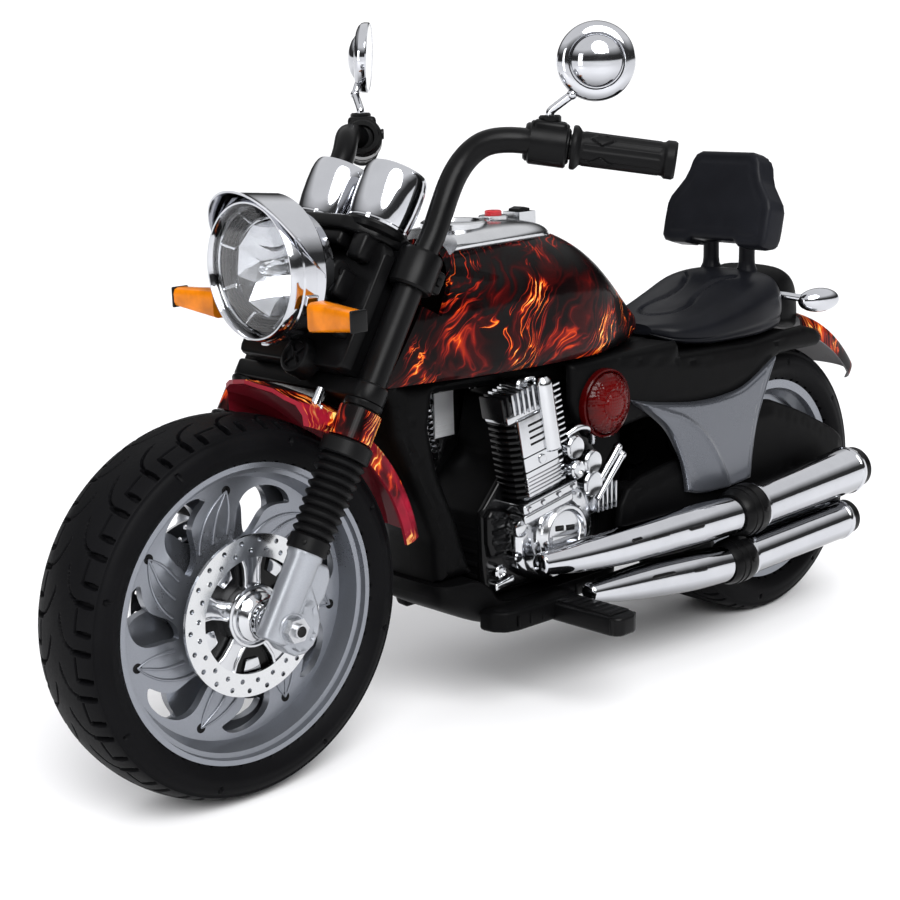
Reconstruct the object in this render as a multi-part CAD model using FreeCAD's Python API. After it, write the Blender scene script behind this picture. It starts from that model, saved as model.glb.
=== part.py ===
import FreeCAD, Part
import math
import os

V = FreeCAD.Vector
os.makedirs("parts", exist_ok=True)

# ---------------------------------------------------------------- driving dimensions (mm)
XC = 347.55            # front axle to middle of the overall length
R_F, W_F = 165.0, 91.0      # front tyre radius, width
RIM_F = 129.0         # front rim outer radius
R_R, W_R = 148.0, 108.0     # rear tyre radius, width
RIM_R = 110.0         # rear rim outer radius
BASE = 706.0          # wheelbase
RAKE = math.radians(31.2)   # steering head angle from vertical
LEG_Y = 78.0          # fork leg half spacing
LEG_T = 4.5           # fork leg lead ahead of the axle
STEM_T = -30.0        # steering axis behind the axle line
AXLE_R = 6.0          # both axles
RUN = 0.05            # running clearance on a shaft
STEM_R = 12.0
HEAD_R = 24.0
TUBE_R = 12.5
BAR_R = 11.0          # handlebar tube radius
GRIP_R = 14.5
SPOKES = 7            # spokes of the front rim
FRAME_W = 42.0        # frame half width
BASE_W = 70.0         # seat base half width
ARM_Y0, ARM_Y1 = 60.0, 67.0  # rear arm inner and outer face
MUF_Y = 100.0         # exhaust line off the middle
BATT = (135.0, 62.0, 78.0)   # battery length, width, height

NODES = {}
SA, CA = math.sin(RAKE), math.cos(RAKE)
AX = V(-SA, 0, CA)     # up the fork
TX = V(CA, 0, SA)      # forward, square to the fork
YX = V(0, 1, 0)
FW = V(0, 0, R_F)
RW = V(-BASE, 0, R_R)


# ---------------------------------------------------------------- helpers
def F(s, t, y):
    return FW + AX * s + TX * t + YX * y


def cyl(p, d, r, h):
    return Part.makeCylinder(r, h, V(p), V(d))


def rod(p, q, r):
    p, q = V(p), V(q)
    return Part.makeCylinder(r, (q - p).Length, p, q - p)


def box(x0, x1, y0, y1, z0, z1):
    return Part.makeBox(x1 - x0, y1 - y0, z1 - z0, V(x0, y0, z0))


def face(pts):
    return Part.Face(Part.makePolygon([V(p) for p in pts] + [V(pts[0])]))


def prism(pts, vec):
    return face(pts).extrude(V(vec))


def side(pts, y0, y1):
    return prism([V(x, y0, z) for x, z in pts], V(0, y1 - y0, 0))


def forkside(pts, y0, y1):
    return prism([F(s, t, y0) for t, s in pts], V(0, y1 - y0, 0))


def forktop(pts, s0, s1):
    return prism([F(s0, t, y) for t, y in pts], AX * (s1 - s0))


def spin(pts, c, d, u, ang=360.0):
    """Turn a profile of (along axis, radius) points about the axis d through c."""
    c, d, u = V(c), V(d).normalize(), V(u).normalize()
    return face([c + d * a + u * r for a, r in pts]).revolve(c, d, ang)


def smooth_spin(line, curve, c, d, u, ang=360.0):
    """As spin, with one run of the outline a smooth curve."""
    c, d, u = V(c), V(d).normalize(), V(u).normalize()
    m = lambda ps: [c + d * a + u * r for a, r in ps]
    b = Part.BSplineCurve()
    b.interpolate(m(curve))
    w = Part.Wire([b.toShape()] + [Part.makeLine(p, q) for p, q in zip(m([curve[-1]] + line), m(line + [curve[0]])) if (p - q).Length > 1e-6])
    return Part.Face(w).revolve(c, d, ang)


def flip(s):
    return s.mirror(V(0, 0, 0), V(0, 1, 0))


def pair(s):
    return Part.makeCompound([s, flip(s)])


def fuse(*ss):
    r = ss[0].multiFuse(list(ss[1:]))
    return r.removeSplitter()


def rounded(s, r, pick=None):
    try:
        e = [x for x in s.Edges if pick is None or pick(x)]
        f = s.makeFillet(r, e)
        if f.isValid() and f.Volume > 0.5 * s.Volume:
            return f
    except Exception:
        pass
    return s


def along_y(e):
    a, b = e.Vertexes[0].Point, e.Vertexes[-1].Point
    return abs(abs((b - a).normalize().y) - 1) < 1e-6 if (b - a).Length > 1e-6 else False


def section(x, w, zb, zt, shape):
    h = zt - zb
    pts = [V(x, f * w, zb + g * h) for f, g in shape]
    pts += [V(x, -f * w, zb + g * h) for f, g in reversed(shape[1:-1])]
    b = Part.BSplineCurve()
    b.interpolate(pts, PeriodicFlag=True)
    return Part.Wire(b.toShape())


def loft(rows, shape):
    return Part.makeLoft([section(*r, shape) for r in rows], True, False)


def sweep(pts, r, t0=None, t1=None):
    b = Part.BSplineCurve()
    if t0 is None:
        b.interpolate([V(p) for p in pts])
    else:
        b.interpolate(Points=[V(p) for p in pts], InitialTangent=V(t0), FinalTangent=V(t1))
    w = Part.Wire(b.toShape())
    p0 = b.value(b.FirstParameter)
    d0 = b.tangent(b.FirstParameter)[0]
    c = Part.Wire(Part.makeCircle(r, p0, d0))
    return w.makePipeShell([c], True, False)


def loft_pipe(pts):
    """Round pipe through (x, y, z, r) stations, square to the run."""
    ws = []
    n = len(pts)
    for i, (x, y, z, r) in enumerate(pts):
        a, b = pts[max(i - 1, 0)], pts[min(i + 1, n - 1)]
        d = V(b[0] - a[0], b[1] - a[1], b[2] - a[2])
        ws.append(Part.Wire(Part.makeCircle(r, V(x, y, z), d)))
    return Part.makeLoft(ws, True, False)


def at(shape, org, zdir):
    s = shape.copy()
    s.Placement = FreeCAD.Placement(V(org), FreeCAD.Rotation(V(0, 0, 1), V(zdir)))
    return s


def hexnut(p, d, af, h, bore):
    n = []
    for i in range(6):
        a = math.radians(60 * i)
        n.append(V(math.cos(a), math.sin(a), 0) * (af / math.sqrt(3)))
    s = prism(n, V(0, 0, h)).cut(Part.makeCylinder(bore, h))
    return at(s, p, d)


def gear(c, y0, y1, mod, n, th0, bore, back=0.35):
    r = mod * n / 2.0
    rb, ra, rf = r * math.cos(math.radians(20)), r + 0.88 * mod, r - 1.2 * mod
    inv = lambda a: math.tan(a) - a
    half = math.pi / (2 * n) - back / (2 * r) + inv(math.radians(20))
    pts = []
    for k in range(n):
        m = th0 + 2 * math.pi * k / n
        rs = [max(rb, rf) + (ra - max(rb, rf)) * i / 5.0 for i in range(6)]
        fl = [(q, half - inv(math.acos(min(1.0, rb / q)))) for q in rs]
        if rf < rb:
            fl = [(rf, fl[0][1])] + fl
        pts += [(q, m - a) for q, a in fl] + [(q, m + a) for q, a in reversed(fl)]
    P = [V(c.x + q * math.cos(a), y0, c.z + q * math.sin(a)) for q, a in pts]
    s = prism(P, V(0, y1 - y0, 0))
    return s.cut(cyl(V(c.x, y0, c.z), YX, bore, y1 - y0)) if bore else s


def keep(name, shape):
    NODES[name] = shape


# ---------------------------------------------------------------- front wheel
keep("front_tyre", smooth_spin(
    [(38, RIM_F), (-38, RIM_F)],
    [(-38, RIM_F), (-42.5, 136), (-45.5, 146), (-40.5, 155.5), (-28, 161.3), (-14, 164.1), (0, R_F), (14, 164.1), (28, 161.3), (40.5, 155.5), (45.5, 146), (42.5, 136), (38, RIM_F)],
    FW, YX, V(0, 0, 1)))

rim = spin([(-38, 124.5), (-38, RIM_F), (38, RIM_F), (38, 124.5), (33, 123.5), (32, 119.5), (15, 113.5), (7, 113.5), (7, 119), (-7, 119), (-7, 113.5), (-15, 113.5), (-32, 119.5), (-33, 123.5)], FW, YX, V(0, 0, 1))
webs = [spin([(y0, 14), (y0, 114.5), (y0 + 8, 114.5), (y0 + 8, 14)], FW, YX, V(0, 0, 1)) for y0 in (7, -15)]
hub = spin([(-33, AXLE_R + RUN), (-33, 50), (-28, 50), (-28, 30), (-8, 30), (-8, 20), (8, 20), (8, 30), (28, 30), (28, 50), (33, 50), (33, AXLE_R + RUN)], FW, YX, V(0, 0, 1))
rim = fuse(rim, *webs, hub)
win = [(103, 12.5), (108, 17), (109, 24), (106.5, 32), (101, 39), (92, 43.5), (80, 45.5), (68, 47), (60, 48), (61, 37), (69, 30.5), (79, 27.5), (87, 25), (94, 20), (99, 14.5)]
cuts = []
for k in range(SPOKES):
    for sg, ph in ((1, 37.0), (-1, -20.0)):
        ps = []
        for r, a in win:
            th = math.radians(360.0 * k / SPOKES + ph - sg * a)
            ps.append(FW + V(r * math.cos(th), 0, r * math.sin(th)))
        b = Part.BSplineCurve()
        b.interpolate(ps, PeriodicFlag=True)
        cuts.append(Part.Face(Part.Wire(b.toShape())).extrude(V(0, 40 * sg, 0)))
        th = math.radians(360.0 * k / SPOKES + ph)
        cuts.append(cyl(FW + V(103.5 * math.cos(th), 9 * sg, 103.5 * math.sin(th)), YX * sg, 3.2, 10))
rim = rim.cut(Part.makeCompound(cuts))
keep("front_rim", rim)

disc = spin([(38.0, 50), (38.0, 69.5), (41.0, 69.5), (41.0, 50)], FW, YX, V(0, 0, 1))
holes = []
for row, (r, n, o) in enumerate([(64.5, 22, 0.0), (56.5, 22, 0.5)]):
    for k in range(n):
        th = 2 * math.pi * (k + o) / n
        holes.append(cyl(FW + V(r * math.cos(th), 37, r * math.sin(th)), YX, 2.2, 5))
disc = disc.cut(Part.makeCompound(holes))
keep("front_discs", pair(disc))

carrier = spin([(33, AXLE_R + RUN), (33, 56), (38, 56), (38, 50), (38.6, 50), (38.6, 47), (36, 45), (36, 24), (43, 24), (46, 21), (50, 14), (60, 12.5), (60, AXLE_R + RUN)], FW, YX, V(0, 0, 1))
gaps = []
for k in range(6):
    gaps.append(cyl(FW + V(35 * math.cos(math.radians(60 * k)), 32, 35 * math.sin(math.radians(60 * k))), YX, 8.5, 8))
carrier = carrier.cut(Part.makeCompound(gaps))
keep("front_hubs", pair(carrier))

# ---------------------------------------------------------------- fork
keep("front_axle", Part.makeCompound([
    cyl(FW + YX * -104, YX, AXLE_R, 208),
    hexnut(FW + YX * 92.5, YX, 19, 8, AXLE_R),
    hexnut(FW + YX * -100.5, YX, 19, 8, AXLE_R)]))

keep("steering_stem", cyl(F(195.5, STEM_T, 0), AX, STEM_R, 132.5))


def yoke(s0, s1, tubes=TUBE_R):
    y = forktop([(20, -78), (20, 78), (-9, 84), (-53, 14), (-53, -14), (-9, -84)], s0, s1)
    y = fuse(y, cyl(F(s0, LEG_T, LEG_Y), AX, 16.5, s1 - s0), cyl(F(s0, LEG_T, -LEG_Y), AX, 16.5, s1 - s0), cyl(F(s0, STEM_T, 0), AX, 24, s1 - s0))
    for yy in (LEG_Y, -LEG_Y):
        y = y.cut(cyl(F(s0 - 1, LEG_T, yy), AX, tubes, s1 - s0 + 2))
    return y.cut(cyl(F(s0 - 1, STEM_T, 0), AX, STEM_R, s1 - s0 + 2))


keep("lower_yoke", yoke(195.5, 212))
keep("upper_yoke", yoke(306, 328))
keep("fork_tubes", pair(cyl(F(40, LEG_T, LEG_Y), AX, TUBE_R, 272)))

leg = fuse(cyl(F(-16, LEG_T, LEG_Y), AX, 14, 78),
           forkside([(0, -16), (-17, -20), (-31, -8), (-31, 12), (-20, 26), (0, 44)], LEG_Y - 9, LEG_Y + 14.5),
           forkside([(2, 36), (-24, 22), (-26, 50), (-20, 59), (2, 59)], LEG_Y - 4, LEG_Y + 6))
leg = leg.cut(cyl(F(40, LEG_T, LEG_Y), AX, TUBE_R, 40)).cut(cyl(FW + YX * 50, YX, AXLE_R, 60))
keep("fork_legs", pair(leg))

prof = [(62, 13.0), (62, 17.5), (75, 17.5), (75, 15.2)]
N = 9
for i in range(N):
    s0 = 76 + (145 - 76) * i / N
    st = (145 - 76) / N
    k = i / N
    prof += [(s0 + 0.2 * st, 18.0 + 3 * k), (s0 + 0.65 * st, 18.4 + 3 * k), (s0 + 0.95 * st, 15.6 + 2.5 * k)]
prof += [(146, 18.0), (146, 22.0), (160, 22.0), (160, 13.0)]
keep("gaiters", pair(spin(prof, F(0, LEG_T, LEG_Y), AX, YX)))

fender = [(-55, 163), (-54.5, 172), (-50, 181.5), (-30, 189.5), (0, 193), (30, 189.5), (50, 181.5), (54.5, 172), (55, 163)]
inner = [(51.5, 163), (51, 171), (47, 178.5), (29, 186), (0, 189.5), (-29, 186), (-47, 178.5), (-51, 171), (-51.5, 163)]
th0, th1 = 99.0, 170.0
u0 = V(math.cos(math.radians(th0)), 0, math.sin(math.radians(th0)))
fen = face([FW + YX * a + u0 * r for a, r in fender + inner]).revolve(FW, V(0, -1, 0), th1 - th0)
fen = fen.cut(prism([V(-33, 0, 280), V(-36, 20, 280), V(-43, 40, 280), V(-58, 57, 280), V(10, 57, 280), V(10, -57, 280), V(-58, -57, 280), V(-43, -40, 280), V(-36, -20, 280)], V(0, 0, 120)))
slv = cyl(F(162, LEG_T, LEG_Y), AX, 18.5, 26)
tab = forkside([(-6, 168), (16, 168), (16, 180), (-6, 180)], 52.5, LEG_Y)
fen = fuse(fen, slv, tab, flip(slv), flip(tab))
for yy in (LEG_Y, -LEG_Y):
    fen = fen.cut(cyl(F(150, LEG_T, yy), AX, TUBE_R, 60))
keep("front_fender", fen)

cover = forkside([(-2, 212), (28, 212), (34, 224), (34, 290), (24, 306), (-2, 306)], -64, 64)
cover = fuse(cover, cyl(F(216, 28, 18), TX, 17, 16))
for sg in (1, -1):
    cover = fuse(cover, forkside([(24, 236), (74, 236), (74, 250), (24, 256)], min(sg * 52, sg * 64), max(sg * 52, sg * 64)))
keep("fork_cover", cover)

HC = V(0, 0, 444.6)
XD, ZD = V(1, 0, 0), V(0, 0, 1)
sig = []
for sg in (1, -1):
    a = Part.makePolygon([V(-52, sg * 64.3, 398), V(-52, sg * 64.3, 423), V(-74, sg * 64.3, 423), V(-74, sg * 64.3, 398), V(-52, sg * 64.3, 398)])
    b = Part.makePolygon([V(-50, sg * 130, 404), V(-50, sg * 130, 421), V(-66, sg * 130, 421), V(-66, sg * 130, 404), V(-50, sg * 130, 404)])
    s = Part.makeLoft([a, b], True, True)
    sig.append(rounded(s, 3.0))
keep("signal_lenses", Part.makeCompound(sig))

bez = spin([(-50, 54.2), (-46, 54.2), (-44, 56), (-46, 58.5), (-60, 60.5), (-76, 61.5), (-76, 58), (-56, 55.5), (-54, 54.2)], HC, XD, ZD)
vis = spin([(-76, 61), (-76, 63.5), (-30, 66.5), (-30, 64)], HC, XD, V(0, 0, 1).cross(V(1, 0, 0)) * -1)
vis = vis.cut(prism([V(-26, -90, 520), V(-77, -90, 440), V(-77, -90, 360), V(30, -90, 360), V(30, -90, 520)], V(0, 180, 0)))
keep("headlight_bezel", fuse(bez, vis).cut(cover))
blk = Part.makeCompound([cover])
bucket = spin([(-76, 55), (-76, 60.5), (-80, 58), (-86, 49), (-98, 46), (-107, 36), (-109, 0), (-106, 0), (-104, 34), (-96, 43.5), (-86, 46.5), (-78, 55)], HC, XD, ZD)
wedge = forkside([(34.1, 150), (34.1, 420), (-140, 420), (-140, 150)], -80, 80)
bucket = bucket.cut(wedge).cut(cover)
keep("headlight_reflector", spin([(-55.6, 53.5), (-55.6, 51), (-66, 42), (-76, 26), (-80, 8), (-80, 0), (-83, 0), (-83, 9), (-78.5, 28), (-68, 45)], HC, XD, ZD))
keep("headlight_lens", smooth_spin([(-53.8, 0), (-53.8, 54.0), (-50.2, 54.0)], [(-50.2, 54.0), (-46.5, 40), (-44, 20), (-43, 0)], HC, XD, ZD))

br = forktop([(60, -30), (60, 30), (40, 56), (8, 63), (-20, 63), (-44, 26), (-44, -26), (-20, -63), (8, -63), (40, -56)], 328, 341)
keep("gauge_bracket", br)
bucket = bucket.cut(br)
keep("headlight_bucket", bucket)
CUP_T, CUP_Y = 26.0, 35.0
cup = spin([(341, 0), (341, 24), (347, 27), (376, 28.5), (392, 28.5), (396, 26.5), (396, 25), (390, 25.5), (390, 26.3), (350, 25), (344, 20), (344, 0)], F(0, CUP_T, CUP_Y), AX, YX)
keep("gauge_cups", pair(cup))
keep("gauge_faces", pair(cyl(F(386.5, CUP_T, CUP_Y), AX, 25.8, 3.2)))

E = V(-278.5, 122, 538)
G = V(-349, 205, 521.5)
BD = (G - E).normalize()
B0 = F(312, LEG_T, LEG_Y)
riser = sweep([B0, F(345, 1.5, 78), V(-198.3, 78, 499), V(-218.5, 80, 527), V(-232, 90.5, 540), V(-246, 103.5, 543), V(-260, 113.5, 541.5), E], BAR_R, AX, BD)
straight = cyl(E, BD, BAR_R, (G - E).Length - 4)
hb = fuse(riser, straight)
keep("handlebar", pair(hb))


def on_bar(local):
    return at(local, E, BD)


sb = rounded(Part.makeBox(38, 32, 34, V(-19, -16, -17)), 5.0)
# turn the box so that its long side stands upright on the bar
zq = V(0, 0, 1) - BD * BD.z
zq.normalize()
xq = zq.cross(BD)
m = FreeCAD.Matrix(zq.x, xq.x, BD.x, E.x, zq.y, xq.y, BD.y, E.y, zq.z, xq.z, BD.z, E.z, 0, 0, 0, 1)
sb.Placement = FreeCAD.Placement(m)
sb = sb.cut(hb)
gl = (G - E).Length
gp = spin([(20, BAR_R), (20, 19), (25, 19), (27, GRIP_R), (gl - 12, GRIP_R), (gl - 10, 16.5), (gl - 1, 16.5), (gl, 15), (gl, 0), (gl - 4, 0), (gl - 4, BAR_R)], E, BD, zq)
keep("grips", pair(gp))

MC = V(-304, 155, 606.5)
MCR = V(-309, 151, 613.5)      # the right head stands a little higher and further back
MN = V(0.684, 0.729, 0.06).normalize()
MP = V(-288, 141.5, 0)
st = fuse(rod(V(-279, 124, 551), V(-279, 124, 563), 5.0), Part.makeSphere(4.6, V(-279, 124, 563)),
          rod(V(-279, 124, 563), V(MP.x, MP.y, 563.5), 4.4), Part.makeSphere(4.4, V(MP.x, MP.y, 563.5)),
          cyl(V(MP.x, MP.y, 563.5), ZD, 4.0, 14))
sb = sb.cut(st)
keep("mirror_stalks", pair(st))
keep("switch_boxes", pair(sb))
mu = V(0, 0, 1) - MN * MN.z
mu.normalize()


def mirror(c):
    """Left-hand mirror head and glass about centre c."""
    shell = smooth_spin([(0, 33.5), (-5, 33.5), (-5, 31), (-3, 31), (-3, 0), (15, 0)], [(15, 0), (13.8, 10), (10, 21), (4, 30), (0, 33.5)], c, MN, mu)
    boss = cyl(V(MP.x, MP.y, 568.6), ZD, 7.0, 11)
    neck = rod(V(MP.x, MP.y, 574), c + (V(MP.x, MP.y, 574) - c) * 0.72, 4.5)
    head = fuse(shell, boss, neck)
    head = head.cut(cyl(V(MP.x, MP.y, 560), ZD, 4.0 + RUN, 18.2)).cut(at(Part.makeCylinder(31, 20, V(0, 0, -23)), c, MN))
    return head, at(Part.makeCylinder(30.8, 2.0, V(0, 0, -5.0)), c, MN)


head, glass = mirror(MC)
keep("mirror_shell_left", head)
keep("mirror_glass_left", glass)
head, glass = mirror(MCR)
keep("mirror_shell_right", flip(head))
keep("mirror_glass_right", flip(glass))

# ---------------------------------------------------------------- chassis
ht = cyl(F(214.5, STEM_T, 0), AX, HEAD_R, 88.5).cut(cyl(F(211, STEM_T, 0), AX, STEM_R + RUN, 93))
keep("head_tube", ht)


def XZ(s, t):
    p = F(s, t, 0)
    return (p.x, p.z)


outline = [(-160, 318), XZ(216, -40), XZ(300, -40), XZ(300, -57), (-168, 341), (-182, 334), (-396, 332), (-396, 329), (-516, 329),
           (-516, 306), (-470, 306), (-470, 200), (-456, 112), (-400, 112), (-404, 200), (-400, 300), (-330, 312), (-207, 318),
           (-203, 290), (-213, 250), (-236, 200), (-255, 150), (-262, 140), (-214, 140), (-212, 180), (-198, 215), (-181, 250), (-165, 285)]
fo = side(outline, 0.05, FRAME_W)
fi = face([V(x, 0.05, z) for x, z in outline]).makeOffset2D(-4.0).extrude(V(0, FRAME_W - 4.05, 0))
arm = side([(-446, 122), (-446, 190), (-560, 212), (-655, 244), (-757, 212), (-806, 186), (-814, 166), (-800, 140), (-700, 120), (-560, 106)], ARM_Y0, ARM_Y1)
link = box(-469, -446, FRAME_W - 4, ARM_Y1, 126, 192)
fl = fo.cut(fi).cut(cyl(F(200, STEM_T, 0), AX, HEAD_R, 120))
fl = fuse(fl, arm, link).cut(cyl(RW + YX * 50, YX, AXLE_R, 40)).cut(fi)
fl = max(fl.Solids, key=lambda q: q.Volume)
keep("frame_left", fl)
keep("frame_right", flip(fl))

belly = side([(-208, 139.9), (-258, 139.9), (-258, 111.9), (-444, 111.9), (-444, 97), (-404, 88), (-272, 88), (-222, 112)], -57, 57)
belly = belly.cut(side([(-222, 135), (-253, 135), (-253, 107), (-438, 107), (-438, 101.5), (-403, 93), (-273, 93), (-229, 114.5)], -52, 52))
keep("belly_pan", belly)

TK = [(0, 0), (0.8, 0.0), (0.96, 0.11), (1.0, 0.36), (0.94, 0.64), (0.7, 0.87), (0.34, 0.98), (0, 1.0)]
rows = [(-112, 38, 334, 416), (-170, 52, 329, 437), (-230, 67, 327, 451), (-300, 78, 326, 459), (-360, 80, 326, 455), (-415, 71, 327, 431), (-460, 53, 330, 393), (-495, 33, 335, 365), (-520, 10, 342, 352)]
tank = loft(rows, TK)
tin = loft([(x, w - 4.5, zb - 14, zt - 4.5) for x, w, zb, zt in rows[:-1]], [(0, 0), (0.86, 0.0), (0.975, 0.2), (1.0, 0.42), (0.935, 0.67), (0.695, 0.875), (0.335, 0.975), (0, 1.0)])
front_cut = forkside([(-58, 100), (-58, 217), (-38, 217), (-38, 301), (-58, 301), (-58, 460), (120, 460), (120, 100)], -100, 100)
tank = tank.cut(tin).cut(front_cut)
fr = Part.makeCompound([fo, flip(fo)])
tank = tank.cut(fr).cut(cyl(F(200, STEM_T, 0), AX, HEAD_R + 0.3, 130))
if len(tank.Solids) > 1:
    tank = max(tank.Solids, key=lambda q: q.Volume)
keep("tank_cover", tank)

BX, BZ = -331.0, 463.0
DK = [(0, 0), (0.6, 0.0), (0.93, 0.25), (1.0, 0.5), (0.9, 0.75), (0.6, 0.93), (0.3, 0.985), (0, 1.0)]
dash = loft([(-208, 26, 434, 450), (-226, 41, 437, 456), (-270, 50, 438, 462), (-325, 50, 438, 464), (-362, 40, 437, 460), (-388, 18, 430, 448)], DK)
dash = fuse(dash, spin([(446, 0), (446, 31), (465, 31), (466.5, 29), (466.5, 24), (463.5, 22), (463.5, 0)], V(-280, 0, 0), ZD, XD),
            spin([(446, 0), (446, 14), (466, 14), (467, 13), (467, 0)], V(BX, 0, 0), ZD, XD),
            box(-377, -355, -11, 11, 444, 468))
dash = dash.cut(loft(rows, TK)).cut(front_cut)
bb = cyl(V(BX, 0, 457.0), ZD, 8.4, 20)
dash = dash.cut(bb).cut(box(-374.5, -357.5, -7, 7, 459.0, 480))
if len(dash.Solids) > 1:
    dash = max(dash.Solids, key=lambda q: q.Volume)
keep("dash_panel", dash)
keep("red_button", spin([(462.8, 0), (462.8, 8.0), (470.5, 8.0), (471.5, 7.0), (472, 0)], V(BX, 0, 0), ZD, XD))
RK = V(-366, 0, 468.0)
rock = side([(-373.6, 466.5), (-373.6, 470.5), (-366, 472.2), (-358.4, 470.5), (-358.4, 466.5), (-363, 463.4), (-369, 463.4)], -6.4, 6.4)
rock = fuse(rock, cyl(V(RK.x, -6.8, RK.z), YX, 1.6, 13.6))
keep("rocker_switch", rock)

SK = [(0, 0), (0.7, 0.0), (0.95, 0.08), (1.0, 0.34), (0.96, 0.66), (0.78, 0.9), (0.4, 0.985), (0, 0.99)]
seat = loft([(-523, 30, 330.2, 341), (-540, 50, 322, 344), (-575, 62, 316, 351), (-615, 69, 315, 363), (-655, 71, 315, 377), (-690, 66, 317, 379), (-706, 58, 319, 375)], SK)

LEAN = math.radians(15.0)
pu = V(-math.sin(LEAN), 0, math.cos(LEAN))
pn = V(-math.cos(LEAN), 0, -math.sin(LEAN))
P0 = V(-657, 0, 408)
half = [(57, 0), (66, 5), (69, 16), (68, 36), (62, 46), (50, 53), (44, 63), (42, 88), (39, 96), (31, 100)]
pad = prism([P0 + YX * y + pu * v for y, v in half + [(-y, v) for y, v in reversed(half)]], pn * 34)
pad = rounded(pad, 8.0)
posts = [cyl(V(-689, yy, 318), ZD, 7.5, 100) for yy in (24, -24)]
seat = seat.cut(Part.makeCompound(posts))
bk = fuse(pad, *posts)

skirt = side([(-362, 330), (-522, 329.9), (-523, 315), (-640, 313), (-735, 317), (-770, 302), (-762, 290), (-690, 292), (-640, 264), (-560, 256), (-470, 258), (-420, 250), (-384, 250), (-362, 290)], -BASE_W, BASE_W)
skirt = skirt.cut(box(-780, -520, -61.5, 61.5, 230, 305)).cut(box(-521, -360, -61.5, 61.5, 230, 324))
skirt = skirt.cut(fr).cut(seat).cut(loft(rows, TK)).cut(Part.makeCompound(posts))
bk = bk.cut(box(-720, -660, -40, 40, 300, 318.01))
if len(skirt.Solids) > 1:
    skirt = max(skirt.Solids, key=lambda q: q.Volume)
keep("seat_base", skirt)
keep("seat", seat)
keep("backrest", bk)

cowl = loft([(-706.2, 50, 317, 374), (-728, 49, 314, 373), (-750, 42, 310, 360), (-766, 30, 306, 338), (-773, 14, 304, 318)], SK)
cowl = cowl.cut(skirt).cut(seat)
if len(cowl.Solids) > 1:
    cowl = max(cowl.Solids, key=lambda q: q.Volume)
keep("tail_cowl", cowl)

rfen = [(-50, 174), (-48, 180), (-34, 184.5), (0, 187), (34, 184.5), (48, 180), (50, 174)]
rin = [(46.5, 174), (45, 177.5), (33, 180.5), (0, 183), (-33, 180.5), (-45, 177.5), (-46.5, 174)]
a0, a1 = 102.0, 145.5
u1 = V(math.cos(math.radians(a0)), 0, math.sin(math.radians(a0)))
rf = face([RW + YX * a + u1 * r for a, r in rfen + rin]).revolve(RW, V(0, -1, 0), a1 - a0)
rf = rf.cut(cowl).cut(skirt)
if len(rf.Solids) > 1:
    rf = max(rf.Solids, key=lambda q: q.Volume)
keep("rear_fender", rf)

el = Part.makeSphere(1.0)
mt = FreeCAD.Matrix()
mt.scale(24.5, 13, 13)
el = el.transformGeometry(mt)
el.rotate(V(0, 0, 0), ZD, -22)
el.translate(V(-742, 80, 345))
rs = fuse(el, rod(V(-712, 46, 352), V(-728, 76, 347), 4.0)).cut(cowl).cut(seat)
if len(rs.Solids) > 1:
    rs = max(rs.Solids, key=lambda q: q.Volume)
keep("rear_signals", pair(rs))

block = side([(-316, 296), (-397, 296), (-399, 200), (-397, 114), (-266, 114), (-264, 150), (-262, 200), (-300, 240)], -FRAME_W, FRAME_W)
keep("engine_block", block)

# chrome engine cover, left, made once and mirrored
EY = FRAME_W + 0.2
ec = [side([(-262, 118), (-260, 196), (-275, 208), (-345, 222), (-398, 214), (-424, 186), (-424, 150), (-396, 120)], EY, 58)]
ec.append(cyl(V(-345, 58, 168), YX, 33, 10))
ec.append(spin([(68, 0), (68, 30), (73, 28), (76, 25), (76, 21), (72, 19), (72, 0)], V(-345, 0, 168), YX, ZD))
up = V(math.sin(math.radians(10)), 0, math.cos(math.radians(10)))
rt = V(math.cos(math.radians(10)), 0, -math.sin(math.radians(10)))
cb = V(-323, 0, 208)


def eng(u0, u1, v0, v1, y0, y1):
    return prism([cb + rt * u0 + up * v0 + YX * y0, cb + rt * u1 + up * v0 + YX * y0, cb + rt * u1 + up * v1 + YX * y0, cb + rt * u0 + up * v1 + YX * y0], V(0, y1 - y0, 0))


ec.append(eng(-28, 28, 0, 106, EY, 66))
for i in range(13):
    ec.append(eng(-34, 34, 9 + 6.2 * i, 11.6 + 6.2 * i, EY, 75))
ec.append(eng(-36, 36, -3, 6, EY, 76))
ec.append(eng(-20, -6, 4, 104, EY, 78))
ec.append(eng(-24, 28, 90, 108, EY, 72))
for i in range(6):
    ec.append(eng(-4 + 6 * i, -1.4 + 6 * i, 88, 112, EY, 76))
for x, z, r in [(-364, 248, 10.5), (-379, 232, 11.5), (-379, 211, 12.5)]:
    ec.append(cyl(V(x, EY, z), YX, r, 36))
    ec.append(cyl(V(x, EY + 36, z), YX, r - 3, 2.5))
ec.append(rod(V(-386, 66, 198), V(-420, 66, 238), 4.2))
ec.append(rod(V(-394, 66, 194), V(-428, 66, 230), 4.2))
ec.append(rod(V(-408, 62, 176), V(-408, 62, 208), 3.4))
ec.append(rod(V(-418, 62, 178), V(-418, 62, 204), 3.4))
ec.append(box(-404, -394, EY, 62, 190, 216))
ec.append(rod(V(-299, EY, 316), V(-299, 66, 316), 8))
ec.append(rod(V(-318, EY, 310), V(-318, 72, 310), 8))
ecov = ec[0].multiFuse(ec[1:])
ecov = ecov.cut(Part.makeCompound([fr, skirt, tank]))
if len(ecov.Solids) > 1:
    ecov = max(ecov.Solids, key=lambda q: q.Volume)
keep("engine_covers", pair(ecov))

lens = smooth_spin([(70.1, 0), (70.1, 33), (74, 33)], [(74, 33), (80, 29), (86, 18), (88.5, 0)], V(-404, 0, 285), YX, ZD)
keep("side_lenses", pair(lens))

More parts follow.
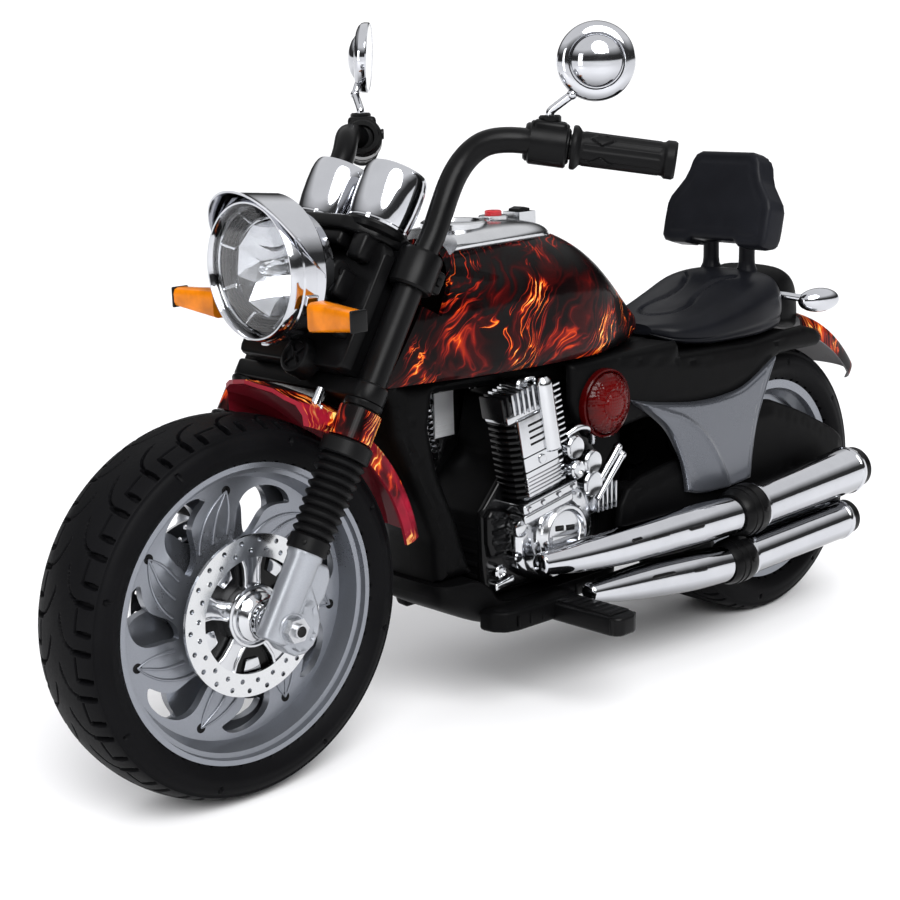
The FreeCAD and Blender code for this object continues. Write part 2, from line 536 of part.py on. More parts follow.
top = [(-437, 283), (-480, 273.5), (-542, 264.4), (-591, 263.9), (-628, 270), (-676, 292)]
rgt = [(-676, 292), (-660, 262), (-641, 218.7), (-632, 168)]
bot = [(-632, 168), (-560, 166), (-527, 173)]
lft = [(-527, 173), (-522, 197.5), (-510, 222), (-487, 250), (-437, 283)]
es = []
for run in (top, rgt, bot, lft):
    b = Part.BSplineCurve()
    b.interpolate([V(x, 71, z) for x, z in run])
    es.append(b.toShape())
sc = Part.Face(Part.Wire(es)).extrude(V(0, 6, 0))
keep("side_covers", pair(sc))

hdr, col, muf, cap = [], [], [], []
hu = loft_pipe([(-300, 84, 150, 10), (-340, 88, 148, 12), (-400, 93, 147, 16), (-470, 98, 147.5, 19), (-525, 100, 146.5, 20), (-570, 100, 145, 19)])
hl = loft_pipe([(-362, 88, 108, 8), (-400, 91, 106, 12.5), (-450, 95, 103.5, 17), (-500, 99, 100, 19.5), (-554, 100, 96, 19)])
hdr = [hu.cut(ecov), hl]
cu = spin([(0, 17), (0, 21), (6, 24.5), (26, 26), (32, 25.5), (32, 17)], V(-568, MUF_Y, 145), V(-1, 0, 0.045), ZD)
cl = spin([(0, 15), (0, 20), (6, 22.5), (26, 23), (32, 22.5), (32, 15)], V(-552, MUF_Y, 95.5), V(-1, 0, 0.025), ZD)
du, dl = V(-1, 0, 0.045).normalize(), V(-1, 0, 0.025).normalize()
mu_ = spin([(0, 0), (0, 22.5), (172, 25.5), (176, 24), (176, 0)], V(-568, MUF_Y, 145) + du * 32.2, du, ZD)
ml_ = spin([(0, 0), (0, 20.5), (176, 21.5), (179, 20), (179, 0)], V(-552, MUF_Y, 95.5) + dl * 32.2, dl, ZD)
ku = spin([(0, 0), (0, 22.5), (10, 22.5), (13, 20.5), (13, 16), (4, 15), (4, 0)], V(-568, MUF_Y, 145) + du * 208.4, du, ZD)
kl = spin([(0, 0), (0, 19), (9, 19), (11, 17.5), (11, 13), (4, 12.5), (4, 0)], V(-552, MUF_Y, 95.5) + dl * 211.4, dl, ZD)
cu, cl = cu.cut(hu), cl.cut(hl)
clip = box(-592, -576, ARM_Y1, 82, 128, 150)
cu = fuse(cu, clip.cut(hu))
cu = max(cu.Solids, key=lambda q: q.Volume)
hdr = [h.cut(Part.makeCompound([cu, cl])) for h in hdr]
hdr = [max(h.Solids, key=lambda q: q.Volume) for h in hdr]
tie = box(-582, -572, 92, 108, 110, 126).cut(Part.makeCompound([cu, hu, hl]))
cl = fuse(cl, tie)
cl = max(cl.Solids, key=lambda q: q.Volume)
cu = cu.cut(cl)
mu_ = mu_.cut(Part.makeCompound([cu, cl]))
ml_ = ml_.cut(Part.makeCompound([cu, cl, mu_]))
keep("exhaust_headers", Part.makeCompound(hdr + [flip(h) for h in hdr]))
keep("exhaust_collars", Part.makeCompound([cu, cl, flip(cu), flip(cl)]))
keep("mufflers", Part.makeCompound([mu_, ml_, flip(mu_), flip(ml_)]))
keep("muffler_caps", Part.makeCompound([ku, kl, flip(ku), flip(kl)]))

PX, PZ = -346.0, 114.0
pegl = rounded(box(-352, -319, 57.1, 162, 89, 108), 5.0, along_y)
pegr = flip(pegl)
lug = side([(-351, 106), (-351, 115), (-347.5, 117.5), (-343, 116), (-341, 106)], -104, -99)
lug2 = side([(-351, 106), (-351, 115), (-347.5, 117.5), (-343, 116), (-341, 106)], -160, -155)
pin = cyl(V(PX, -159, PZ), YX, 2.0, 59)
pegr = fuse(pegr, lug, lug2, pin)
keep("footrests", Part.makeCompound([pegl, pegr]))
bar = cyl(V(PX, -154, PZ), YX, 4.0, 49)
pd = side([(-345, 112.5), (-345, 117.5), (-310, 126.0), (-307, 122.5), (-311, 120.5)], -154, -105)
ped = fuse(bar, pd).cut(cyl(V(PX, -170, PZ), YX, 2.0 + RUN, 90))
keep("accel_pedal", ped)

# ---------------------------------------------------------------- rear axle, drive, wheel
keep("rear_axle", Part.makeCompound([
    cyl(RW + YX * -75, YX, AXLE_R, 150),
    hexnut(RW + YX * ARM_Y1, YX, 17, 6.5, AXLE_R),
    hexnut(RW + YX * (-ARM_Y1 - 6.5), YX, 17, 6.5, AXLE_R)]))

keep("rear_tyre", smooth_spin(
    [(45, RIM_R), (-45, RIM_R)],
    [(-45, RIM_R), (-51, 118), (-54, 129), (-50.5, 139), (-42, 145.9), (-28, 147.6), (0, R_R), (28, 147.6), (42, 145.9), (50.5, 139), (54, 129), (51, 118), (45, RIM_R)],
    RW, YX, ZD))
rr = spin([(-45, 101), (-45, RIM_R), (45, RIM_R), (45, 101), (38, 99), (30, 92), (24, 92), (24, 84), (12, 82), (12, 20), (44, 20), (44, AXLE_R + RUN),
           (-14, AXLE_R + RUN), (-14, 24), (2, 24), (4, 92), (4, 100), (-38, 100)], RW, YX, ZD)
holes = []
for k in range(7):
    th = 2 * math.pi * k / 7
    holes.append(cyl(RW + V(58 * math.cos(th), 0, 58 * math.sin(th)), YX, 15, 20))
rr = rr.cut(Part.makeCompound(holes))
MOD, NG, NP = 2.0, 30, 10
psi = math.radians(55)
PC = RW + V(math.cos(psi), 0, math.sin(psi)) * (MOD * (NG + NP) / 2)
rr = fuse(rr, gear(RW, -14, 3, MOD, NG, psi, 20))
keep("rear_rim", rr)
pn_ = fuse(gear(PC, -13, -1, MOD, NP, psi + math.pi + math.pi / NP, 0), cyl(V(PC.x, -30, PC.z), YX, 2.0, 18))
keep("motor_pinion", pn_)
mot = fuse(cyl(V(PC.x, -58, PC.z), YX, 14, 36), cyl(V(PC.x, -22.05, PC.z), YX, 6, 5)).cut(cyl(V(PC.x, -31, PC.z), YX, 2.0 + RUN, 20))
keep("drive_motor", mot)
case = spin([(-22, AXLE_R), (-22, 62), (-17, 62), (-17, AXLE_R)], RW, YX, ZD)
case = fuse(case, spin([(-59.9, AXLE_R), (-59.9, 18), (-21, 18), (-21, AXLE_R)], RW, YX, ZD))
case = case.cut(mot).cut(cyl(V(PC.x, -23, PC.z), YX, 6.0, 7))
keep("gearbox_case", case)
bl, bw, bh = BATT
keep("battery", box(-400, -400 + bl, -bw / 2, bw / 2, 334, 334 + bh))

# ---------------------------------------------------------------- write out
total = None
for name, s in NODES.items():
    s = s.copy()
    s.translate(V(XC, 0, 0))
    bb_ = s.BoundBox
    total = bb_ if total is None else total.united(bb_)
    s.exportStep("parts/%s.step" % name)
print("nodes", len(NODES), "box", [round(q, 2) for q in (total.XMin, total.XMax, total.YMin, total.YMax, total.ZMin, total.ZMax)])
for name, s in NODES.items():
    if not s.isValid() or s.Volume <= 0:
        print("not valid", name, s.Volume)
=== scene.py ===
import bpy, bmesh, math
import numpy as np
from mathutils import Vector, Matrix
from mathutils.geometry import delaunay_2d_cdt


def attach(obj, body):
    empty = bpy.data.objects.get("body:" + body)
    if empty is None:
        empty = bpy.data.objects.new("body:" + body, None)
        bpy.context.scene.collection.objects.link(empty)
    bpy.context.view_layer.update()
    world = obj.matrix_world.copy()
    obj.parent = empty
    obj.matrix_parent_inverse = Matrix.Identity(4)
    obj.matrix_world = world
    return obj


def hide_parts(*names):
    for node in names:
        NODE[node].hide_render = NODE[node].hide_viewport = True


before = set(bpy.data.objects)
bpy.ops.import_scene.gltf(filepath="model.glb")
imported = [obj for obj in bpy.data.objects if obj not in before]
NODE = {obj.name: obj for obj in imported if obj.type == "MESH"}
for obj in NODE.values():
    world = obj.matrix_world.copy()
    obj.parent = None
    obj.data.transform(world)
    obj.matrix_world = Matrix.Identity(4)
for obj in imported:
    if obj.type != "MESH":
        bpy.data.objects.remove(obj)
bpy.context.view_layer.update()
XC = 347.55
RAKE = math.radians(31.2)
SA, CA = math.sin(RAKE), math.cos(RAKE)
LEG_T, LEG_Y, STEM_T0 = 4.5, 78.0, -30.0
PI = math.pi


# ------------------------------------------------------------------ places
def P(x, y, z):
    """Point of the model in mm from the front axle line, as metres in the shared frame."""
    return Vector(((x + XC) / 1000.0, y / 1000.0, z / 1000.0))


def F(s, t, y):
    """Point given along the fork: s up the legs, t forward, y to the left."""
    return P(-SA * s + CA * t, y, 165.0 + CA * s + SA * t)


AX = Vector((-SA, 0, CA))
TX = Vector((CA, 0, SA))
YX = Vector((0, 1, 0))
ZX = Vector((0, 0, 1))
XX = Vector((1, 0, 0))
MM = 0.001


# ------------------------------------------------------------------ materials
class Mat:
    def __init__(self, name):
        self.m = bpy.data.materials.new(name)
        self.m.use_nodes = True
        self.t = self.m.node_tree
        self.t.nodes.clear()
        self.out = self.t.nodes.new("ShaderNodeOutputMaterial")
        self.b = self.t.nodes.new("ShaderNodeBsdfPrincipled")
        self.t.links.new(self.b.outputs[0], self.out.inputs[0])
        self._co = None

    def add(self, kind, ins=None, **props):
        n = self.t.nodes.new(kind)
        for k, v in props.items():
            setattr(n, k, v)
        for k, v in (ins or {}).items():
            self.put(n.inputs[k], v)
        return n

    def put(self, sock, v):
        if isinstance(v, bpy.types.NodeSocket):
            self.t.links.new(v, sock)
        else:
            if hasattr(sock.default_value, "__len__") and not hasattr(v, "__len__"):
                v = [v] * len(sock.default_value)
            if hasattr(v, "__len__") and len(v) == 3 and len(sock.default_value) == 4:
                v = list(v) + [1.0]
            sock.default_value = v

    def set(self, **kw):
        for k, v in kw.items():
            self.put(self.b.inputs[k.replace("_", " ")], v)
        return self

    def co(self):
        if self._co is None:
            self._co = self.add("ShaderNodeTexCoord").outputs["Object"]
        return self._co

    def scaled(self, s, loc=(0, 0, 0), rot=(0, 0, 0), vec=None):
        return self.add("ShaderNodeMapping", {"Vector": vec or self.co(), "Location": loc, "Rotation": rot, "Scale": s}).outputs[0]

    def noise(self, scale, detail=3.0, rough=0.5, vec=None, dist=0.0, out="Fac"):
        return self.add("ShaderNodeTexNoise", {"Vector": vec or self.co(), "Scale": scale, "Detail": detail, "Roughness": rough, "Distortion": dist}).outputs[out]

    def voronoi(self, scale, vec=None, feature="F1", out="Distance", rnd=1.0):
        return self.add("ShaderNodeTexVoronoi", {"Vector": vec or self.co(), "Scale": scale, "Randomness": rnd}, feature=feature).outputs[out]

    def math(self, op, a, b=0.0, c=None, clamp=False):
        n = self.t.nodes.new("ShaderNodeMath")
        n.operation, n.use_clamp = op, clamp
        self.put(n.inputs[0], a)
        self.put(n.inputs[1], b)
        if c is not None:
            self.put(n.inputs[2], c)
        return n.outputs[0]

    def vmath(self, op, a, b=(0, 0, 0), out=0):
        n = self.t.nodes.new("ShaderNodeVectorMath")
        n.operation = op
        self.put(n.inputs[0], a)
        self.put(n.inputs[1], b)
        return n.outputs[out]

    def ramp(self, fac, stops, mode="LINEAR"):
        n = self.t.nodes.new("ShaderNodeValToRGB")
        n.color_ramp.interpolation = mode
        e = n.color_ramp.elements
        while len(e) < len(stops):
            e.new(0.5)
        for el, (p, c) in zip(e, stops):
            el.position = p
            el.color = (list(c) + [1.0])[:4] if hasattr(c, "__len__") else (c, c, c, 1.0)
        self.put(n.inputs[0], fac)
        return n.outputs[0]

    def span(self, v, a, b, lo, hi):
        return self.add("ShaderNodeMapRange", {"Value": v, "From Min": a, "From Max": b, "To Min": lo, "To Max": hi}).outputs[0]

    def mix(self, f, a, b, mode="MIX"):
        n = self.t.nodes.new("ShaderNodeMix")
        n.data_type, n.blend_type = "RGBA", mode
        self.put(n.inputs[0], f)
        self.put(n.inputs[6], a)
        self.put(n.inputs[7], b)
        return n.outputs[2]

    def bump(self, h, strength=0.3, dist=0.001, normal=None):
        ins = {"Height": h, "Strength": strength, "Distance": dist}
        if normal is not None:
            ins["Normal"] = normal
        return self.add("ShaderNodeBump", ins).outputs[0]


def black_plastic(name, base=0.012, rough=0.36, grain=900.0, depth=0.12, tint=(1.0, 1.0, 1.10), spec=0.10):
    """Moulded black plastic: fine spark-eroded grain, faint flow marks and rubbed patches."""
    m = Mat(name)
    big = m.noise(9.0, 4.0, 0.6)
    mid = m.noise(60.0, 4.0, 0.6)
    c0 = [base * q for q in tint]
    c1 = [base * 1.9 * q for q in tint]
    m.set(Base_Color=m.mix(m.span(big, 0.3, 0.75, 0.0, 1.0), c0, c1))
    m.set(Roughness=m.math("ADD", m.span(big, 0.3, 0.7, rough - 0.05, rough + 0.05), m.span(mid, 0.3, 0.7, -0.03, 0.04)))
    fine = m.noise(grain, 2.0, 0.5)
    m.set(Normal=m.bump(fine, depth, 0.0004, m.bump(big, 0.05, 0.004)))
    m.set(Specular_IOR_Level=spec)
    return m.m


def chrome(name, tone=(0.62, 0.63, 0.65), rough=0.07, wave=0.05, dirt=0.0):
    """Vacuum-plated plastic: bright, slightly wavy, with faint haze."""
    m = Mat(name)
    haze = m.noise(22.0, 5.0, 0.6)
    m.set(Metallic=1.0)
    m.set(Base_Color=m.mix(m.span(haze, 0.35, 0.75, 0.0, 1.0), tone, [q * 0.9 for q in tone]))
    m.set(Roughness=m.span(haze, 0.3, 0.8, rough * 0.6, rough * 1.7))
    m.set(Normal=m.bump(m.noise(38.0, 2.0, 0.5), wave, 0.003))
    return m.m


def chrome_shaded_below(name, tone):
    """Plated chrome with painted shade: its base colour is darkened on downward-facing surfaces, standing in for the
    shade under it.
    """
    m = Mat(name)
    haze = m.noise(22.0, 5.0, 0.6)
    g = m.add("ShaderNodeNewGeometry")
    sep = m.add("ShaderNodeSeparateXYZ")
    m.put(sep.inputs[0], g.outputs["Normal"])
    # painted shade: mask of the downward-facing side, where the base colour is darkened
    low = m.span(sep.outputs[2], -0.85, -0.22, 1.0, 0.0)
    m.set(Metallic=1.0)
    m.set(Base_Color=m.mix(low, m.mix(m.span(haze, 0.35, 0.75, 0.0, 1.0), tone, [q * 0.9 for q in tone]), [q * 0.16 for q in tone]))
    m.set(Roughness=m.span(haze, 0.3, 0.8, 0.04, 0.12))
    m.set(Normal=m.bump(m.noise(38.0, 2.0, 0.5), 0.06, 0.003))
    return m.m


def metal_paint(name, tone, rough=0.34, metal=0.75, flake=1500.0, coat=0.35, bumpy=0.05):
    """Silver-grey sprayed or flake-filled plastic."""
    m = Mat(name)
    fl = m.voronoi(flake, out="Color")
    flv = m.add("ShaderNodeSeparateColor", {0: fl}).outputs[0]
    big = m.noise(7.0, 4.0, 0.55)
    a = m.mix(m.span(big, 0.3, 0.7, 0.0, 1.0), [q * 0.88 for q in tone], tone)
    m.set(Base_Color=m.mix(m.span(flv, 0.0, 1.0, 0.0, 0.12), a, [min(1.0, q * 1.5) for q in tone]))
    m.set(Metallic=metal, Coat_Weight=coat, Coat_Roughness=0.12)
    m.set(Roughness=m.math("ADD", m.span(big, 0.3, 0.7, rough - 0.04, rough + 0.05), m.span(flv, 0, 1, -0.03, 0.03)))
    m.set(Normal=m.bump(m.noise(700.0, 2.0), bumpy, 0.0004))
    return m.m


M_FRAME = black_plastic("frame_black", 0.0014, 0.44, 800.0, 0.16, spec=0.045)
M_SATIN = black_plastic("satin_black", 0.0018, 0.32, 1100.0, 0.07)
M_GLOSS = black_plastic("gloss_black", 0.0018, 0.20, 1400.0, 0.03, spec=0.16)
M_SEAT = black_plastic("seat_black", 0.0048, 0.36, 620.0, 0.10, (0.92, 0.98, 1.30), 0.09)
M_RUB = black_plastic("gaiter_black", 0.0020, 0.42, 700.0, 0.10)
M_CHROME = chrome("chrome", (0.56, 0.57, 0.60))
M_CHROME_SHADED = chrome_shaded_below("chrome_painted_shade_below", (0.56, 0.57, 0.60))
M_CHROME2 = chrome("chrome_engine", (0.56, 0.57, 0.59), 0.13, 0.12)
M_REFL = chrome("lamp_chrome", (0.66, 0.67, 0.70), 0.12, 0.04)
M_SLAT = metal_paint("lamp_slats", (0.034, 0.035, 0.042), 0.30, 0.60, 1500.0, 0.10)
# painted light: pale paint for the cover backs seen through the gap in the frame
M_GAP_LIGHT = metal_paint("cover_back", (0.86, 0.87, 0.89), 0.50, 0.10, 1500.0, 0.05)
M_RIM = metal_paint("rim_grey", (0.215, 0.228, 0.256), 0.32, 0.80)
M_DISC = metal_paint("disc_silver", (0.60, 0.61, 0.62), 0.17, 1.0, 1500.0, 0.1)
M_SILVER = metal_paint("leg_silver", (0.315, 0.330, 0.360), 0.36, 0.74)
M_SLATE = metal_paint("slate_grey", (0.096, 0.103, 0.120), 0.30, 0.72)
M_DASH = chrome("dash_silver", (0.60, 0.61, 0.63), 0.18, 0.03)


def tyre_mat():
    m = Mat("tyre_black")
    big = m.noise(14.0, 5.0, 0.6)
    fine = m.noise(420.0, 3.0, 0.6)
    m.set(Base_Color=m.mix(m.span(big, 0.3, 0.7, 0.0, 1.0), (0.0016, 0.0016, 0.0020), (0.0034, 0.0034, 0.0040)))
    m.set(Roughness=m.math("ADD", m.span(big, 0.3, 0.7, 0.46, 0.60), m.span(fine, 0.3, 0.7, -0.04, 0.05)))
    m.set(Normal=m.bump(fine, 0.12, 0.0006), Specular_IOR_Level=0.055)
    return m.m


M_TYRE = tyre_mat()


def flame_mat(name, inside=None, centre=None, skirt=None, size=1.0, heat=1.0, lean_deg=-48.0, haze=0.005, coat=0.14):
    """Generic fire pattern: long warped strands in dark red, orange and pale yellow over gloss black and smoke grey."""
    m = Mat(name)
    co = m.co()
    w1 = m.noise(10.0 * size, 2.0, 0.5, co, 0.0, "Color")
    p1 = m.vmath("MULTIPLY_ADD", w1, (0.11 / size, 0.07 / size, 0.11 / size))
    m.put(p1.node.inputs[2], co)
    w2 = m.noise(34.0 * size, 2.0, 0.5, p1, 0.0, "Color")
    p2 = m.vmath("MULTIPLY_ADD", w2, (0.024 / size, 0.016 / size, 0.024 / size))
    m.put(p2.node.inputs[2], p1)
    # strands: stretched along a slanted line on the side of the part
    turn = m.scaled((1, 1, 1), (0, 0, 0), (0.0, math.radians(lean_deg), 0.0), p2)

    def ridge(long, across, power, off):
        n = m.noise(1.0, 2.0, 0.5, m.scaled((long * size, 30.0 * size, across * size), off, (0, 0, 0), turn))
        r = m.math("SUBTRACT", 1.0, m.math("ABSOLUTE", m.math("MULTIPLY_ADD", n, 2.0, -1.0)))
        return m.math("POWER", r, power)

    def patch(scale, off, lo, hi, src):
        return m.span(m.noise(scale * size, 2.0, 0.5, m.scaled((1, 1, 1), off, (0, 0, 0), src)), lo, hi, 0.0, 1.0)

    deep = m.math("MULTIPLY", ridge(13.0, 60.0, 4.0, (0.3, 1.2, 4.1)), patch(9.0, (4.2, 0.9, 2.4), 0.40, 0.60, p1))
    warm = m.math("MULTIPLY", ridge(17.0, 105.0, 9.0, (7.3, 2.7, 0.6)), patch(12.0, (1.7, 5.2, 3.3), 0.46, 0.60, p1))
    pale = m.math("MULTIPLY", ridge(15.0, 150.0, 22.0, (2.9, 8.1, 5.5)), patch(15.0, (6.1, 2.2, 0.8), 0.50, 0.62, p1))
    curl = m.math("MULTIPLY", patch(26.0, (3.4, 1.1, 9.2), 0.50, 0.70, p2), patch(7.0, (8.8, 4.0, 1.9), 0.44, 0.58, p1))
    v = m.math("MULTIPLY_ADD", warm, 0.58, m.math("MULTIPLY", deep, 0.32))
    v = m.math("MULTIPLY_ADD", curl, 0.34, v)
    v = m.math("MULTIPLY_ADD", pale, 0.95, v)
    v = m.math("MULTIPLY", v, heat)
    fire = m.ramp(v, [(0.0, (0.0012, 0.0010, 0.0011)), (0.12, (0.0040, 0.0008, 0.0010)), (0.28, (0.030, 0.0018, 0.0020)), (0.42, (0.15, 0.006, 0.004)), (0.60, (0.46, 0.036, 0.006)), (0.80, (0.90, 0.21, 0.016)), (1.0, (1.0, 0.62, 0.18))])
    smoke = patch(11.0, (9.0, 3.0, 1.0), 0.50, 0.60, p1)
    cool = m.math("MULTIPLY", smoke, m.math("SUBTRACT", 1.0, m.span(v, 0.03, 0.22, 0.0, 1.0)))
    col = m.mix(cool, fire, (haze, haze * 0.94, haze * 0.97))
    if skirt is not None:
        # the side lips of a mudguard are plain deep red with random darker patches, and the flames lick into them
        sep = m.add("ShaderNodeSeparateXYZ")
        m.put(sep.inputs[0], co)
        ay = m.math("ABSOLUTE", sep.outputs[1])
        red = m.mix(m.span(m.noise(16.0, 3.0), 0.35, 0.65, 0.0, 1.0), skirt, [q * 0.38 for q in skirt])
        lip = m.math("MULTIPLY", m.span(ay, 0.0480, 0.0512, 0.0, 1.0), m.span(ay, 0.0570, 0.0580, 1.0, 0.0))
        lick = m.span(m.noise(20.0, 3.0, 0.5, m.scaled((1, 1, 1), (5.1, 2.3, 7.7), (0, 0, 0), p1)), 0.42, 0.54, 0.12, 1.0)
        col = m.mix(m.math("MULTIPLY", lip, lick), col, red)
    if inside is not None:
        # the inner face of a mudguard is plain: told by its facing towards the wheel
        g = m.add("ShaderNodeNewGeometry")
        d = m.vmath("SUBTRACT", co, centre)
        d = m.vmath("MULTIPLY", d, (1, 0, 1))
        dot = m.vmath("DOT_PRODUCT", g.outputs["True Normal"], m.vmath("NORMALIZE", d), out=1)
        col = m.mix(m.span(dot, -0.05, 0.02, 1.0, 0.0), col, inside)
    m.set(Base_Color=col, Coat_Weight=coat, Coat_Roughness=0.04, Specular_IOR_Level=0.03)
    m.set(Roughness=m.span(m.noise(30.0, 4.0), 0.3, 0.7, 0.26, 0.38))
    m.set(Normal=m.bump(m.noise(26.0, 2.0), 0.03, 0.003))
    return m.m


M_TANK = flame_mat("flame_tank", heat=0.84)
M_FFEN = flame_mat("flame_front", (0.20, 0.010, 0.020), tuple(P(0, 0, 165)), (0.36, 0.012, 0.034), 1.25, 1.65, haze=0.004, coat=0.10)
M_RFEN = flame_mat("flame_rear", (0.20, 0.196, 0.20), tuple(P(-706, 0, 148)), None, 1.2, 1.30, haze=0.006, coat=0.20)


def lens_mat(name, tone, rough=0.12, ior=1.49, trans=0.9, ridge=0.0, cell=0.0, spec=0.5, low=0.82):
    m = Mat(name)
    m.set(Specular_IOR_Level=spec)
    n = m.noise(45.0, 3.0)
    m.set(Base_Color=m.mix(m.span(n, 0.3, 0.7, 0.0, 1.0), tone, [q * low for q in tone]))
    m.set(Transmission_Weight=trans, IOR=ior)
    m.set(Roughness=m.span(n, 0.3, 0.7, rough * 0.7, rough * 1.3))
    h = m.noise(60.0, 2.0)
    if cell:
        h = m.voronoi(cell, rnd=0.0)
    m.set(Normal=m.bump(h, 0.5 if cell else 0.04, 0.002))
    return m.m


M_CLEAR = lens_mat("clear_lens", (0.97, 0.98, 0.99), 0.02, 1.45, 1.0)
M_AMBER = lens_mat("amber_lens", (0.84, 0.235, 0.004), 0.20, 1.49, 0.12, spec=0.14, low=0.56)


def red_lens():
    """Deep red moulded lens with painted glow: its base colour is lighter towards the middle of its dome, standing in
    for light through the lens; a fine pyramid pattern inside.
    """
    m = Mat("red_lens")
    sep = m.add("ShaderNodeSeparateXYZ")
    m.put(sep.inputs[0], m.co())
    # painted glow: mask that lightens the base colour towards the top of the dome
    dome = m.span(m.math("ABSOLUTE", sep.outputs[1]), 0.0765, 0.0872, 0.0, 1.0)
    n = m.noise(70.0, 3.0)
    deep = m.mix(m.span(n, 0.35, 0.65, 0.0, 1.0), (0.016, 0.0002, 0.0003), (0.036, 0.0004, 0.0005))
    m.set(Base_Color=m.mix(dome, deep, (0.075, 0.0007, 0.0006)))
    m.set(Roughness=m.span(n, 0.3, 0.7, 0.10, 0.18), Specular_IOR_Level=0.16)
    m.set(Normal=m.bump(m.voronoi(330.0, rnd=0.15), 0.30, 0.0016))
    return m.m


M_REDL = red_lens()
M_LRIM = lens_mat("lamp_rim", (0.040, 0.0008, 0.0010), 0.14, 1.49, 0.0, spec=0.12)
M_RED = lens_mat("red_button", (0.62, 0.02, 0.03), 0.25, 1.49, 0.0)


def mirror_mat():
    m = Mat("mirror_glass")
    n = m.noise(12.0, 3.0)
    m.set(Metallic=1.0, Base_Color=m.mix(m.span(n, 0.3, 0.7, 0, 1), (0.86, 0.87, 0.88), (0.80, 0.81, 0.83)))
    m.set(Roughness=m.span(n, 0.3, 0.7, 0.01, 0.04))
    return m.m


M_MIRROR = mirror_mat()


def steel_mat(name, tone=(0.55, 0.56, 0.58), rough=0.30):
    m = Mat(name)
    n = m.noise(160.0, 4.0, 0.6, m.scaled((1, 6, 1)))
    m.set(Metallic=1.0, Base_Color=m.mix(n, tone, [q * 0.7 for q in tone]))
    m.set(Roughness=m.span(n, 0.3, 0.7, rough - 0.08, rough + 0.08))
    m.set(Normal=m.bump(n, 0.08, 0.0004))
    return m.m


M_STEEL = steel_mat("steel")


def dial_mat():
    """Dial card: pale, with a faint random tone."""
    m = Mat("dial_face")
    n = m.noise(300.0, 3.0)
    m.set(Base_Color=m.mix(m.span(n, 0.3, 0.7, 0, 1), (0.80, 0.79, 0.76), (0.72, 0.71, 0.69)))
    m.set(Roughness=m.span(n, 0.3, 0.7, 0.35, 0.5))
    return m.m


M_DIAL = dial_mat()

LOOK = {
    M_FRAME: "frame_left frame_right belly_pan engine_block seat_base tail_cowl head_tube gearbox_case battery",
    M_SATIN: "fork_cover lower_yoke upper_yoke gauge_bracket switch_boxes footrests exhaust_collars muffler_caps rocker_switch accel_pedal handlebar fork_tubes",
    M_RUB: "gaiters grips",
    M_TYRE: "front_tyre rear_tyre",
    M_RIM: "front_rim rear_rim",
    M_SILVER: "fork_legs",
    M_SLATE: "side_covers",
    M_DISC: "front_discs",
    M_CHROME: "front_hubs headlight_bezel headlight_bucket headlight_reflector gauge_cups mirror_stalks mirror_shell_left mirror_shell_right rear_signals exhaust_headers",
    M_CHROME_SHADED: "mufflers",
    M_CHROME2: "engine_covers",
    M_DASH: "dash_panel",
    M_STEEL: "front_axle rear_axle steering_stem motor_pinion drive_motor",
    M_TANK: "tank_cover",
    M_FFEN: "front_fender",
    M_RFEN: "rear_fender",
    M_SEAT: "seat backrest",
    M_CLEAR: "headlight_lens",
    M_AMBER: "signal_lenses",
    M_REDL: "side_lenses",
    M_RED: "red_button",
    M_DIAL: "gauge_faces",
    M_MIRROR: "mirror_glass_left mirror_glass_right",
}
for mat_, names in LOOK.items():
    for n_ in names.split():
        o_ = NODE[n_]
        o_.data.materials.clear()
        o_.data.materials.append(mat_)


# ------------------------------------------------------------------ mesh helpers
def piece(name, parts, mat, body, sharp=38.0, replaces=(), smooth=True):
    """One object from a list of (verts, faces) in shared-frame metres."""
    vs, fs = [], []
    for v, f in parts:
        k = len(vs)
        vs += [tuple(p) for p in v]
        fs += [tuple(i + k for i in q) for q in f]
    me = bpy.data.meshes.new(name)
    me.from_pydata(vs, [], fs)
    me.validate()
    me.update()
    bm = bmesh.new()
    bm.from_mesh(me)
    bmesh.ops.recalc_face_normals(bm, faces=bm.faces)
    bm.to_mesh(me)
    bm.free()
    if smooth:
        me.polygons.foreach_set("use_smooth", [True] * len(me.polygons))
        me.set_sharp_from_angle(angle=math.radians(sharp))
    me.materials.append(mat)
    o = bpy.data.objects.new(name, me)
    bpy.context.scene.collection.objects.link(o)
    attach(o, body)
    if replaces:
        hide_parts(*replaces)
    return o


def mirrored(part):
    v, f = part
    return [(p[0], -p[1], p[2]) for p in v], [tuple(reversed(q)) for q in f]


def both(parts):
    return list(parts) + [mirrored(p) for p in parts]


def lathe(prof, c, d, u, n=72, a0=0.0, a1=2 * PI, close=False):
    """Turn a profile of (along, radius) in mm about d through c."""
    d = Vector(d).normalized()
    u = (Vector(u) - d * Vector(u).dot(d)).normalized()
    w = d.cross(u)
    full = abs(a1 - a0 - 2 * PI) < 1e-6
    m = n if full else n + 1
    vs, fs = [], []
    rows = []
    for a, r in prof:
        if r < 1e-6:
            rows.append([len(vs)] * m)
            vs.append(c + d * (a * MM))
        else:
            row = []
            for i in range(m):
                th = a0 + (a1 - a0) * i / n
                row.append(len(vs))
                vs.append(c + d * (a * MM) + (u * math.cos(th) + w * math.sin(th)) * (r * MM))
            rows.append(row)
    if close:
        rows.append(rows[0])
    for p, q in zip(rows, rows[1:]):
        for i in range(n):
            j = (i + 1) % m
            f = [p[i], p[j], q[j], q[i]]
            g = []
            for k in f:
                if k not in g:
                    g.append(k)
            if len(g) > 2:
                fs.append(tuple(g))
    return vs, fs


def frames(pts):
    pts = [Vector(p) for p in pts]
    ts = []
    for i in range(len(pts)):
        ts.append((pts[min(i + 1, len(pts) - 1)] - pts[max(i - 1, 0)]).normalized())
    n0 = ts[0].orthogonal().normalized()
    out = []
    for i, t in enumerate(ts):
        n0 = (n0 - t * n0.dot(t)).normalized()
        out.append((pts[i], t, n0.copy(), t.cross(n0)))
    return out


